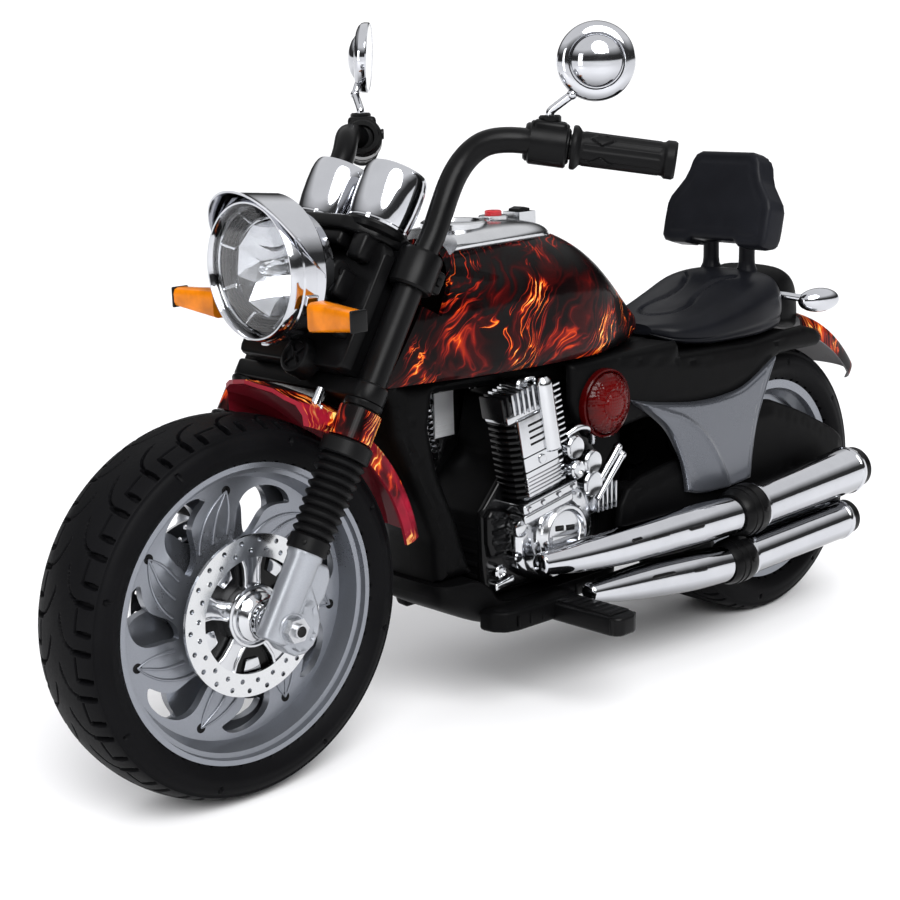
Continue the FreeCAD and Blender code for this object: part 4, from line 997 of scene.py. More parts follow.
# gaiters as true bellows
def gaiter():
    pr = [(62, 12.6), (62, 16.8), (63, 17.6), (74, 17.6), (75, 16.8)]
    N = 9
    for i in range(N):
        s0 = 76 + (145 - 76) * i / N
        st = (145 - 76) / N
        k = i / N
        ro, ri = 18.4 + 3 * k, 14.8 + 2.4 * k
        for q in range(8):
            u = q / 8
            w_ = 0.5 - 0.5 * math.cos(2 * PI * u)
            pr.append((s0 + st * u, ri + (ro - ri) * w_ ** 0.6))
    pr += [(145.2, 17.2), (146, 20.8), (147.2, 22), (158.5, 22), (160, 20.6), (160, 12.6)]
    return lathe(pr, F(0, LEG_T, LEG_Y), AX, YX, 56)


clip = [disc(F(68.5, LEG_T, LEG_Y) + (TX * math.cos(a) + YX * math.sin(a)) * 0.0172, TX * math.cos(a) + YX * math.sin(a), 2.2, 1.4, 14) for a in (0.6, 2.2, 3.9, 5.4)]
piece("bellows", both([gaiter()] + clip), M_RUB, "fork", 32, ("gaiters",))

# ------------------------------------------------------------------ headlight
HC = P(0, 0, 444.6)


def facet_ring(prof, c, d, u, n, amp=0.0):
    """Lathe with flat sides, unsmoothed later by its own sharp angle."""
    return lathe(prof, c, d, u, n)


refl = [lathe([(-56.5, 53.0), (-58, 50.5), (-66, 44.0), (-69, 42.5), (-69, 39.5), (-66.5, 38.6), (-66.5, 37.2), (-69.5, 36.2)], HC, XX, ZX, 96)]


def facet_bowl(n=10):
    """Bowl of flat mirrors: every other corner of the middle ring stands forward."""
    vs, fs, rings = [], [], []
    for r, x, step, half in ((37.4, -66.6, 0.0, 0.0), (25.0, -73.6, 2.6, 0.5), (12.5, -79.0, 1.2, 0.0)):
        row = []
        for i in range(n):
            a = 2 * PI * (i + half) / n + 0.2
            row.append(len(vs))
            vs.append(HC + XX * (x + (step if i % 2 else -step)) * MM + (YX * math.cos(a) + ZX * math.sin(a)) * r * MM)
        rings.append(row)
    top = len(vs)
    vs.append(HC + XX * -81.5 * MM)
    for p, q, s in ((rings[0], rings[1], 1), (rings[1], rings[2], 0)):
        for i in range(n):
            j = (i + 1) % n
            if s:
                fs += [(p[i], p[j], q[i]), (p[j], q[j], q[i])]
            else:
                fs += [(p[i], q[j], q[i]), (p[i], p[j], q[j])]
    for i in range(n):
        fs.append((rings[2][i], rings[2][(i + 1) % n], top))
    return vs, fs


facets = [facet_bowl()]
piece("lamp_facets", facets, M_REFL, "fork", 3)
for i in range(8):
    a = 2 * PI * (i + 0.5) / 8
    rad = YX * math.cos(a) + ZX * math.sin(a)
    tan = YX * -math.sin(a) + ZX * math.cos(a)
    refl.append(block(HC + XX * -0.0598 + rad * 0.0446, rad * 12.2 + XX * 9.4, tan, rad * -9.4 + XX * 12.2, 15.4, 2.6, 3.6, 0.6, 2))
piece("lamp_bowl", refl, M_REFL, "fork", 12, ("headlight_reflector",))
bulb = [lathe([(-80, 0), (-80, 7.5), (-74, 7.5), (-73, 6.4), (-66, 6.2), (-62.5, 5), (-60.5, 2.8), (-60, 0)], HC, XX, ZX, 28)]
piece("lamp_bulb", bulb, M_CLEAR, "fork", 30)
# dark ribbed band round the bowl, in four lengths with bright bars between
slats = []
for k in range(8):
    a0 = 2 * PI * (k + 0.5) / 8
    prof = []
    for i in range(11):
        r = 38.5 + 12.2 * i / 10
        prof.append((-66.0 + 9.4 * (i / 10) + (1.5 if i % 2 else -0.4), r))
    slats.append(lathe(prof, HC, XX, YX, 18, a0 + 0.04, a0 + PI / 4 - 0.04))
piece("lamp_slats", slats, M_SLAT, "fork", 20)
ringp = [lathe([(-50.2, 53.8), (-46.4, 54.6), (-43.6, 56.2), (-43.4, 57.6), (-45.5, 59.2), (-50, 60.2), (-54, 60.2), (-55, 61.6), (-60, 62.2), (-66, 62.2), (-67, 61.2), (-76, 62.0), (-76.4, 58.5), (-57, 55.4), (-54.2, 54.2)], HC, XX, ZX, 112)]


def visor():
    n, m = 64, 20
    vs, fs = [], []
    a0, a1 = math.radians(-4), math.radians(184)
    rows = []
    for layer in (0, 1):
        for j in range(m + 1):
            row = []
            for i in range(n + 1):
                a = a0 + (a1 - a0) * i / n
                reach = max(0.0, math.sin(max(0.0, min(PI, a)))) ** 0.75
                xb, xf = -75.5, -75.0 + 46.0 * reach
                u = j / m
                x = xb + (xf - xb) * u
                r = 62.6 + 4.2 * u * reach + 1.0 * math.exp(-((u - 1.0) / 0.06) ** 2) * reach - layer * 1.8
                row.append(len(vs))
                vs.append(HC + XX * (x * MM) + (YX * math.cos(a) + ZX * math.sin(a)) * (r * MM))
            rows.append(row)
    k = m + 1
    for lay in (0, 1):
        for j in range(m):
            p, q = rows[lay * k + j], rows[lay * k + j + 1]
            for i in range(n):
                fs.append((p[i], p[i + 1], q[i + 1], q[i]))
    for p, q in ((rows[m], rows[k + m]), (rows[0], rows[k])):
        for i in range(n):
            fs.append((p[i], p[i + 1], q[i + 1], q[i]))
    for i in (0, n):
        for j in range(m):
            fs.append((rows[j][i], rows[j + 1][i], rows[k + j + 1][i], rows[k + j][i]))
    return vs, fs


ringp.append(visor())
for a in (-20, 200, 270):
    ar = math.radians(a)
    ringp.append(block(HC + XX * -0.062 + (YX * math.cos(ar) + ZX * math.sin(ar)) * 0.0628, XX, YX * -math.sin(ar) + ZX * math.cos(ar), YX * math.cos(ar) + ZX * math.sin(ar), 12, 9, 3, 1.2))
piece("lamp_ring", ringp, M_CHROME, "fork", 34, ("headlight_bezel",))

# ------------------------------------------------------------------ turn signals
sig, caps = [], []
for sg in (1, -1):
    rows = []
    for u, (xa, xb, za, zb) in ((0.0, (-52, -74, 398, 423)), (1.0, (-50, -66, 404, 421))):
        rows.append((u, xa, xb, za, zb))
    bm = bmesh.new()
    rings = []
    for k in range(9):
        u = k / 8
        y = 64.6 + (120.0 - 64.6) * u
        xa, xb, za, zb = -52 + 2 * u, -74 + 8 * u, 398 + 6 * u, 423 - 2 * u
        pts = []
        for px_, pz_ in ((xa, za), (xa, zb), (xb, zb), (xb, za)):
            pts.append((px_, pz_))
        c4 = []
        for i in range(4):
            p0, p1, p2 = np.array(pts[i - 1]), np.array(pts[i]), np.array(pts[(i + 1) % 4])
            e0, e1 = (p0 - p1) / np.linalg.norm(p0 - p1), (p2 - p1) / np.linalg.norm(p2 - p1)
            for q in (p1 + e0 * 4.5, p1 + (e0 + e1) * 1.35, p1 + e1 * 4.5):
                c4.append(q)
        rings.append([bm.verts.new(P(q[0], sg * y, q[1])) for q in c4])
    for ra, rb in zip(rings, rings[1:]):
        for i in range(12):
            bm.faces.new((ra[i], ra[(i + 1) % 12], rb[(i + 1) % 12], rb[i]))
    bm.faces.new(rings[0][::-1])
    bm.faces.new(rings[-1])
    bmesh.ops.recalc_face_normals(bm, faces=bm.faces)
    sig.append(finish_bm(bm, 0))
    caps.append(prism([P(-49.4, sg * 120.1, 403.2), P(-49.4, sg * 120.1, 421.6), P(-66.6, sg * 120.1, 421.6), P(-66.6, sg * 120.1, 403.2)], YX * (sg * 0.0030), 1.3, 3))
piece("signal_lens_pair", sig, M_AMBER, "fork", 34, ("signal_lenses",))
piece("signal_caps", caps, M_GLOSS, "fork", 34)

# ------------------------------------------------------------------ handlebar ends
E = P(-278.5, 122, 538)
G = P(-349, 205, 521.5)
BD = (G - E).normalized()
ZQ = (ZX - BD * BD.z).normalized()
XQ = ZQ.cross(BD)
GL = (G - E).length / MM


def grip():
    n, m = 120, 110
    vs, fs = [], []
    U = np.linspace(20.0, GL - 0.2, m)
    base = np.interp(U, [20, 21, 24, 26, 28, GL - 14, GL - 11, GL - 9, GL - 2.5, GL - 0.2], [18.0, 19, 19, 17.2, 14.4, 14.2, 14.6, 16.4, 16.5, 15.0])
    for i, u in enumerate(U):
        body_ = smooth01(u, 29, 31) * (1 - smooth01(u, GL - 15, GL - 13))
        for j in range(n):
            th = 2 * PI * j / n
            # long flutes, cut by a raised lozenge on each quarter
            fl = 0.75 * (0.5 + 0.5 * math.cos(15 * th)) ** 2
            lo = 0.0
            for c in range(4):
                dth = (th - PI / 4 - c * PI / 2 + PI) % (2 * PI) - PI
                rr = abs(u - 46) / 11.0 + abs(dth) / 0.46
                if rr < 1.0:
                    fl = 0.2
                    lo = 0.5
                if 0.86 < rr < 1.06:
                    fl, lo = -0.6, 0.0
            r = base[i] + (fl + lo - 0.2) * body_
            if u > GL - 10:
                r += 0.0
            vs.append(E + BD * (u * MM) + (ZQ * math.cos(th) + XQ * math.sin(th)) * (r * MM))
    for i in range(m - 1):
        for j in range(n):
            k = (j + 1) % n
            fs.append((i * n + j, i * n + k, (i + 1) * n + k, (i + 1) * n + j))
    fs.append(tuple(range(n))[::-1])
    fs.append(tuple((m - 1) * n + j for j in range(n)))
    return vs, fs


piece("grip_rubber", both([grip()]), M_RUB, "fork", 40, ("grips",))
sw = [lathe([(-16.5, 11.2), (-16.5, 17.6), (-15.2, 18.8), (15.2, 18.8), (16.5, 17.6), (16.5, 11.2)], E, BD, ZQ, 56)]
sw.append(block(E + ZQ * 0.002, ZQ, XQ, BD, 36, 27, 30, 4.0, 3))
sw.append(lathe([(-20.5, 11.2), (-20.5, 15), (-18.5, 16.5), (-14, 16.5)], E, BD, ZQ, 40))
sw.append(lathe([(14, 15.5), (17.5, 15.2), (18.6, 13.5), (18.6, 11.2)], E, BD, ZQ, 40))
sw.append(lathe([(547, 0), (547, 10), (552, 10), (553, 9.4), (556, 9.4), (557, 10), (561, 10), (562.5, 8.5), (562.5, 0)], P(-279, 124, 0), ZX, XX, 12))
piece("switch_housings", both(sw), M_SATIN, "fork", 32, ("switch_boxes",))
RQ = XQ if XQ.x < 0 else XQ * -1
btn = [disc(E + RQ * 0.0180 + ZQ * 0.004, RQ, 5.0, 2.6, 28)]
piece("switch_keys", both(btn), M_GLOSS, "fork", 32)

# ------------------------------------------------------------------ mirrors
st = [tube([P(*q) for q in curve([(-279, 124, 556), (-279, 124, 563.5), (-279.6, 125.2, 566.2), (-281.4, 128.6, 569.2), (-284.8, 135.2, 574.4), (-288, 141.5, 579.3)], 6)], 3.7, 20)]
piece("mirror_arms", both(st), M_CHROME, "fork", 40, ("mirror_stalks",))
MN = Vector((0.684, 0.729, 0.06)).normalized()
MU = (ZX - MN * MN.z).normalized()
MPIV = (-288, 141.5)


def mirror_head(c):
    c0 = P(*c)
    dome = lathe([(-3.0, 0), (-3.0, 30.9), (-5.0, 31.0), (-5.4, 32.4), (-4.2, 33.5), (0, 33.5), (2.6, 32.7), (5.2, 30.2), (6.8, 27.0), (7.3, 24.2), (6.4, 22.9), (6.5, 22.0), (8.2, 20.9), (11.6, 16.2), (13.8, 10.6), (14.9, 5.0), (15.1, 0)], c0, MN, MU, 80)
    a = Vector(P(MPIV[0], MPIV[1], 579.3))
    tip = c0 + (a - c0).normalized() * 0.026 - MN * 0.001
    neck = tube([a, a.lerp(tip, 0.5), tip, tip.lerp(c0, 0.25)], 3.7, 20)
    return [dome, neck, ball(a, 4.5, 24)]


piece("mirror_cup_left", mirror_head((-304, 155, 606.5)), M_CHROME_SHADED, "mirror_left", 26, ("mirror_shell_left",))
piece("mirror_cup_right", [mirrored(p) for p in mirror_head((-309, 151, 613.5))], M_CHROME_SHADED, "mirror_right", 26, ("mirror_shell_right",))

# ------------------------------------------------------------------ front wheel details
FWC = P(0, 0, 165)


def wheel_pt(r, deg, y):
    a = math.radians(deg)
    return FWC + Vector((math.cos(a) * r * MM, y * MM, math.sin(a) * r * MM))


rib_lines = [[(103.5, 51.4), (92, 50.6), (80, 51.4), (67, 54)], [(103.5, 51.4), (94, 55), (82, 60.5), (64, 67)], [(103.5, 51.4), (96.5, 58), (87, 66), (75, 74.5), (64, 81)]]
ribs, hole_shade_discs = [], []
for k in range(7):
    for ln in rib_lines:
        pts = curve(ln, 7)
        c3 = [wheel_pt(r, 360 * k / 7 + 37 - a, 15.2) for r, a in pts]
        m = len(c3)
        rad = [0.7 + 1.0 * (i / (m - 1)) ** 0.8 for i in range(m)]
        ribs.append(tube(c3, rad, 12, True))
        c3 = [wheel_pt(r, 360 * k / 7 - 20 + a, -15.2) for r, a in pts]
        ribs.append(tube(c3, rad, 12, True))
    # painted shade: black discs stand in for the dark screw holes in the rim
    for sg, ph in ((1, 37), (-1, -20)):
        c = wheel_pt(103.5, 360 * k / 7 + ph, sg * 15.0)
        hole_shade_discs.append(lathe([(-1.0, 4.3), (0.25, 4.3), (0.45, 4.0), (0.1, 3.2), (0.1, 1.2), (-0.4, 0.9), (-0.4, 0)], c, YX * sg, ZX, 24))
piece("rim_ribs", ribs, M_RIM, "front_wheel", 40)
piece("rim_hole_shade", hole_shade_discs, M_SATIN, "front_wheel", 40)

hub, well = [], []
for sg in (1, -1):
    d = YX * sg
    hub.append(lathe([(33.2, 53.0), (33.2, 55.5), (36.2, 55.8), (36.8, 55.0), (36.4, 53.6), (33.2, 53.0)], FWC, d, ZX, 72))
    well.append(lathe([(33.2, 14), (33.2, 54.0), (34.6, 54.0), (34.0, 51), (33.8, 14)], FWC, d, ZX, 72))
    hub.append(lathe([(34, 12.6), (34, 27), (40, 27.4), (42.6, 26.6), (43.2, 24.8), (42.2, 23.0), (43.6, 21.4), (47.0, 20.6), (48.4, 19.0), (51.0, 15.6), (56, 13.6), (61, 13.6), (65, 15.2), (66.8, 15), (67, 12.6)], FWC, d, ZX, 56))
    for k in range(5):
        a = math.radians(72 * k + 20)
        rad = XX * math.cos(a) + ZX * math.sin(a)
        tan = XX * -math.sin(a) + ZX * math.cos(a)
        o = []
        for r, hw in ((24, 8.6), (32, 8.0), (42, 8.6), (49, 11.0), (53.4, 14.0)):
            o.append((r, hw))
        poly = [FWC + rad * (r * MM) + tan * (hw * MM) + d * 0.0352 for r, hw in o] + [FWC + rad * (r * MM) - tan * (hw * MM) + d * 0.0352 for r, hw in reversed(o)]
        hub.append(prism(poly, d * 0.0040, 1.2, 2, 25))
        for e in (1, -1):
            rail = [FWC + rad * (r * MM) + tan * (e * (hw - 1.4) * MM) + d * 0.0392 for r, hw in o]
            hub.append(tube(rail, 1.5, 12))
        a2 = a + math.radians(36)
        r2 = XX * math.cos(a2) + ZX * math.sin(a2)
        t2 = XX * -math.sin(a2) + ZX * math.cos(a2)
        q = [FWC + r2 * (r * MM) + t2 * (w * MM) + d * 0.0340 for r, w in ((38, -6.0), (49, -9.5), (49, 9.5), (38, 6.0))]
        hub.append(prism(q, d * 0.0026, 1.0, 2))
piece("hub_spider", hub, M_CHROME2, "front_wheel", 32, ("front_hubs",))
piece("hub_wells", well, M_GLOSS, "front_wheel", 32)

# ------------------------------------------------------------------ footrests
FT = [(-352, 57.2), (-319, 57.2), (-319, 150), (-321, 157), (-327, 161.4), (-344, 161.4), (-350, 157), (-352, 150)]


def step_bar(ped):
    q = [prism([P(x, y, 89) for x, y in FT], ZX * 0.0185, 3.4, 4, 15)]
    q.append(prism([P(-348.5, 62, 107), P(-322.5, 62, 107), P(-322.5, 150, 107), P(-348.5, 150, 107)], ZX * (0.001 if ped else 0.002), 0.6, 2))
    if not ped:
        for i in range(9):
            q.append(block(P(-335.5, 68 + 9.4 * i, 108.9), XX, YX, ZX, 24, 5.0, 1.2, 0.5, 2))
    q.append(prism([P(x, y, 91) for x, y in [(-353, 151.5), (-318, 151.5), (-318.6, 155.5), (-352.4, 155.5)]], ZX * 0.0152, 1.2, 2))
    q.append(block(P(-335.5, 60, 96), XX, YX, ZX, 46, 8, 24, 4))
    return q


sl = step_bar(False)
sr = [mirrored(p) for p in step_bar(True)]
for y in (-101.5, -157.5):
    sr.append(prism([P(x, y - 2.5, z) for x, z in [(-351, 106), (-351, 115), (-347.5, 117.5), (-343, 116), (-341, 106)]], YX * 0.005, 0.8, 2))
sr.append(tube([P(-346, -159, 114), P(-346, -100, 114)], 2.0, 16))
piece("step_bars", sl + sr, M_SATIN, "chassis", 32, ("footrests",))
# broad roots of the step bars on the sides of the belly tray
root = [prism([P(x, y, 90.0) for x, y in [(-250, 50), (-252, 66), (-260, 77), (-274, 81.5), (-318, 82.5), (-350, 82), (-356, 74), (-356, 50)]], ZX * 0.0205, 4.0, 4, 15)]
for i in range(3):
    root.append(block(P(-272 - 16 * i, 81.8, 100), XX, YX, ZX, 2.6, 2.0, 11, 0.7, 2))
piece("step_roots", both(root), M_FRAME, "chassis", 36)

# ------------------------------------------------------------------ mock engine
CBX, CBZ = -323.0, 208.0
EUP = Vector((math.sin(math.radians(10)), 0, math.cos(math.radians(10))))
ERT = Vector((math.cos(math.radians(10)), 0, -math.sin(math.radians(10))))
EC = P(CBX, 0, CBZ)


def en(u, v, y):
    return EC + ERT * (u * MM) + EUP * (v * MM) + YX * (y * MM)


def eblock(u0, u1, v0, v1, y0, y1, bevel=1.0, seg=2):
    return block(en((u0 + u1) / 2, (v0 + v1) / 2, (y0 + y1) / 2), ERT, EUP, YX, u1 - u0, v1 - v0, y1 - y0, bevel, seg)


# near_painted_shade and far_painted_shade hold gloss black copies of chrome fins and blocks: painted shade where the
# fins lie in the shadow of the frame; the black list holds black parts, and black fills that are painted shade in slots
# and grooves
eng, black_and_recess_shade, near, far, near_painted_shade, far_painted_shade = [], [], [], [], [], []
eng.append(eblock(-27, 25, 0, 108, 42.2, 66, 3))
# painted shade: the front strip of the near barrel is black, that of the far barrel chrome
near_painted_shade.append(eblock(24, 27, 0, 108, 42.2, 66, 1.4))
far.append(eblock(24, 27, 0, 108, 42.2, 66, 1.4))
# painted shade: the front ends of the fins are black copies on the near side, and on the far side below the middle
for i in range(13):
    v = 9 + 6.0 * i
    o = [(-34, 42.3), (22, 42.3), (22, 72.6), (-27, 73), (-32.5, 68), (-34.5, 60)]
    eng.append(prism([en(u, v, y) for u, y in o], EUP * 0.0030, 0.7, 2, 15))
    o = [(21.5, 42.3), (34, 42.3), (35, 58), (33, 66), (27, 72.2), (21.5, 72.5)]
    near_painted_shade.append(prism([en(u, v, y) for u, y in o], EUP * 0.0030, 0.7, 2, 15))
    (far if v > 36 else far_painted_shade).append(prism([en(u, v, y) for u, y in o], EUP * 0.0036, 0.7, 2, 15))
eng.append(eblock(-20, 26, 9, 86, 68, 75.5, 2.2))
for i in range(5):
    eng.append(eblock(-20.5, 26.5, 12 + 3.6 * i, 13.6 + 3.6 * i, 72, 76.3, 0.5))
# painted shade: black bars fill the slots in the face
for i in range(4):
    black_and_recess_shade.append(eblock(-9, 15, 57 + 6.2 * i, 59.6 + 6.2 * i, 74, 76.0, 0.8))
# painted shade: black strips fill two grooves across the face
for v in (33, 47.5):
    black_and_recess_shade.append(eblock(-20.6, 26.6, v, v + 1.3, 70, 75.8, 0.3))
# plain round boss on the face
eng.append(disc(en(3, 40.5, 75), YX, 4.6, 2.2, 28))
# foot of the barrel, two stacked flanges
eng.append(eblock(-37, 37, -4, 5.5, 42.3, 78, 2.2, 3))
eng.append(eblock(-33, 34, -16, -6, 42.3, 74, 2.6, 3))
# painted shade: a black strip fills the groove between the flanges
black_and_recess_shade.append(eblock(-33.5, 34.5, -6.4, -3.6, 44, 72.5, 0.3))
for u in (-30, -10, 12, 31):
    eng.append(disc(en(u, 0.5, 77), YX, 3.0, 3.0, 6))
# head with upright fins
eng.append(eblock(-30, 37, 84, 92, 42.3, 73, 2.0))
# painted shade: on the near side the rear head fins and the rear of the head block are black copies; the far side keeps
# them chrome
for i in range(7):
    fin = eblock(0.5 + 6 * i, 3.4 + 6 * i, 88, 113 - 0.5 * i, 42.3, 76 - 0.8 * i, 0.9)
    (near if i < 5 else near_painted_shade).append(fin)
    far.append(fin)
near.append(eblock(0, 28, 89, 104, 44, 70, 1.0))
near_painted_shade.append(eblock(27, 38, 89, 104, 44, 70, 1.0))
far.append(eblock(0, 38, 89, 104, 44, 70, 1.0))
# upright tube beside the head, with teeth behind it
eng.append(lathe([(44, 0), (44, 8), (46, 9.6), (108, 9.6), (112, 8.6), (115.5, 5.5), (117, 0)], en(-13, 0, 73), EUP, ERT, 36))
for i in range(11):
    eng.append(eblock(-33, -19, 46 + 5.6 * i, 48.6 + 5.6 * i, 52, 76, 0.7))
eng.append(eblock(-26, -18, 44, 108, 46, 72, 1.5))
# breather caps on top
for (x, z, r, y1) in ((-299, 316, 8.0, 67), (-318.5, 312, 8.6, 74)):
    eng.append(lathe([(42.4, 0), (42.4, r - 1.5), (y1 - 12, r - 1.5), (y1 - 11, r), (y1 - 2, r), (y1 - 0.4, r - 1.2), (y1, r - 2.6), (y1 - 1.8, r - 3.6), (y1 - 1.8, 0)], P(x, 0, z), YX, ZX, 36))
eng.append(tube([P(*q) for q in curve([(-299, 60, 316), (-306, 64, 322), (-314, 66, 321), (-318.5, 66, 314)], 6)], 3.0, 14))
# cluster of round caps behind the barrel
for (x, z, r, y1) in ((-358, 250, 11.5, 78), (-380, 232, 12.0, 80), (-380, 211, 12.8, 80), (-357, 229, 9.0, 82)):
    eng.append(lathe([(42.4, 0), (42.4, r - 1.5), (y1 - 8, r - 1.5), (y1 - 7, r), (y1 - 1.6, r), (y1, r - 1.4), (y1 - 0.6, r - 2.6), (y1 - 2.6, r * 0.45), (y1 - 3.0, 0)], P(x, 0, z), YX, ZX, 44))
eng.append(tube([P(*q) for q in curve([(-352, 70, 262), (-366, 74, 268), (-384, 72, 262), (-392, 66, 248)], 7)], 3.4, 14))
# pair of levers to the rear
for a, b in (((-384, 72, 198), (-423, 72, 238)), ((-393, 72, 192), (-430, 71, 229))):
    eng.append(tube([P(*a), P(*b)], [3.0, 4.2], 16))
    eng.append(ball(P(*b), 4.8, 18))
eng.append(tube([P(-423, 72, 238), P(-430, 71, 229)], 3.0, 12))
# finned rear barrel
for i in range(5):
    x = -400 - 6.4 * i
    eng.append(block(P(x, 55, 196 - 1.5 * i), XX, YX, ZX, 2.8, 26, 40 - 3 * i, 1.1, 2))
# painted shade: a black block behind the rear barrel fins darkens the gaps between them
black_and_recess_shade.append(block(P(-413, 50, 192), XX, YX, ZX, 34, 14, 40, 3))
# crankcase: rounded shell, drum cover with a slotted disc
CASE = [tuple(p) for p in curve([(-300, 138), (-296, 170), (-300, 196), (-322, 206), (-350, 210), (-384, 206), (-400, 186), (-402, 158), (-392, 134), (-366, 121), (-330, 121)], 6, True)]
eng.append(pillow(CASE, side3, 42.3, 60.0, 8.0, 4.0, 2.0, 18.0))
eng.append(lathe([(56, 34), (64, 34), (67, 33), (68.5, 31), (70, 30.2), (75, 28.6), (76.6, 26.8), (76.2, 24.4), (73.6, 23.0), (72.6, 21.6), (73.2, 19), (73.4, 0)], P(-345, 0, 168), YX, ZX, 72))
eng.append(block(P(-345, 73.6, 160), Vector((1, 0, 0.12)), ZX, YX, 36, 13, 1.6, 0.7, 2))
# painted shade: black fills in the two slots of the drum disc
for x, z in ((-337.5, 174.5), (-352.5, 172.5)):
    black_and_recess_shade.append(block(P(x, 73.6, z), Vector((1, 0, 0.12)), ZX, YX, 11, 5.4, 1.4, 0.6, 2))
for i in range(6):
    a = PI / 3 * i + 0.4
    eng.append(disc(P(-345 + 31.4 * math.cos(a), 67, 168 + 31.4 * math.sin(a)), YX, 2.6, 3.0, 6))
# side knob and front box
eng.append(lathe([(44, 0), (44, 6), (56, 6), (57, 8.5), (64, 9), (66.5, 8.2), (68, 6), (68.4, 0)], P(-294, 0, 182), YX, ZX, 32))
eng.append(lathe([(44, 0), (44, 5), (58, 5), (59.5, 4), (59.5, 0)], P(-297, 0, 152), YX, ZX, 24))
black_and_recess_shade.append(pillow([(-296, 158), (-294, 196), (-270, 203), (-264, 196), (-264, 170), (-268, 156)], side3, 42.3, 53.0, 4.0, 3.5, extra=lambda x, z, d: 1.6 * np.sin((z - 150) * 0.75) * smooth01(d, 3, 6)))
eng.append(lathe([(42.3, 0), (42.3, 7), (55, 7), (56.5, 6), (57, 4.4), (55.6, 3.4), (55.6, 0)], P(-276, 0, 142), YX, ZX, 28))
eng.append(block(P(-284, 48, 128), Vector((1, 0, -0.15)), YX, ZX, 26, 11, 9, 2.5))
# black backing plate that carries it all
back = pillow([(-263, 120), (-262, 200), (-292, 232), (-300, 250), (-352, 262), (-398, 262), (-428, 224), (-424, 150), (-398, 118)], side3, 40.0, 46.0, 3.0, 6.0)
piece("engine_casting", both(eng) + near + [mirrored(p) for p in far], M_CHROME2, "chassis", 32, ("engine_covers",))
# gloss black: the backing plate and front box, with the black fills and fin copies that are painted shade
piece("engine_black_and_painted_shade", both(black_and_recess_shade + [back]) + near_painted_shade + [mirrored(p) for p in far_painted_shade], M_GLOSS, "chassis", 32)
# middle of the engine: a closed black housing with ribs, set back from the gap in the frame
hs = [prism([P(x, -41.6, z) for x, z in [(-326, 296), (-397, 296), (-399, 200), (-397, 114.4), (-266, 114.4), (-264, 150), (-263, 196), (-312, 242)]], YX * 0.0832, 4.0, 3, 15)]
for i in range(6):
    hs.append(prism([P(-264.5 - 0.1 * i, -36, 122 + 12 * i), P(-262.4 - 0.1 * i, -36, 122 + 12 * i), P(-262.4 - 0.1 * i, -36, 126 + 12 * i), P(-264.5 - 0.1 * i, -36, 126 + 12 * i)], YX * 0.072, 0.6, 2))
piece("engine_middle", hs, M_FRAME, "chassis", 35, ("engine_block",))
# pale backs of the chrome covers, with a few ribs low down; their pale colour is painted light, standing in for the
# bright light seen through the gap in the frame
bp = [block(P(-299.5, 41.5, 276), XX, YX, ZX, 25, 1.2, 44, 0.5, 2)]
for i in range(4):
    bp.append(block(P(-299.5, 40.6, 256 + 4.6 * i), XX, YX, ZX, 23, 1.0, 1.6, 0.4, 2))
piece("cover_backs_painted_light", both(bp), M_GAP_LIGHT, "chassis", 35)

# ------------------------------------------------------------------ side lamps
lamp, lrim = [], []


def side_lamp():
    n, m = 72, 22
    vs, fs = [], []
    prof = curve([(74.5, 30.5), (79.5, 28), (85, 19), (87.6, 9), (88.2, 0.02)], 6)
    rows = []
    for a, r in prof:
        row = []
        for i in range(n):
            th = 2 * PI * i / n
            k = abs(((th / (2 * PI) * 18) % 1.0) - 0.5) * 2
            rr = r * (1 - 0.012 * (1 - k) * (1 if r > 13 else 0))
            ya = a - (0.55 * (1 - k) if r > 13 else 0.0) - (1.0 if 11.2 < r < 14.0 else 0.0)
            row.append(len(vs))
            vs.append(P(-404 + rr * math.cos(th), ya, 285 + rr * math.sin(th)))
        rows.append(row)
    for p, q in zip(rows, rows[1:]):
        for i in range(n):
            fs.append((p[i], p[(i + 1) % n], q[(i + 1) % n], q[i]))
    fs.append(tuple(rows[0])[::-1])
    fs.append(tuple(rows[-1]))
    return vs, fs


piece("side_lamp_lens", both([side_lamp()]), M_REDL, "chassis", 20, ("side_lenses",))
piece("side_lamp_rims", both([lathe([(69.5, 26), (69.5, 33.4), (73, 33.6), (76, 33.0), (77, 31.8), (76, 30.6), (73.5, 30.2), (73.0, 26)], P(-404, 0, 285), YX, ZX, 64)]), M_LRIM, "chassis", 30)

# ------------------------------------------------------------------ exhaust trim
UP = [(-300, 84, 150, 10.5), (-340, 88, 148, 14.5), (-400, 93, 147, 18.5), (-470, 98, 147.5, 20.2), (-525, 100, 146.5, 20.4), (-570, 100, 145, 19)]
LP = [(-362, 88, 108, 9.5), (-400, 91, 106, 15), (-450, 95, 103.5, 18.8), (-500, 99, 100, 20), (-554, 100, 96, 19)]


def on_pipe(pipe, x, ang):
    xs = [-p[0] for p in pipe]
    y, z, r = (float(np.interp(-x, xs, [p[k] for p in pipe])) for k in (1, 2, 3))
    return P(x, y + r * 0.965 * math.cos(ang), z + r * 0.965 * math.sin(ang))


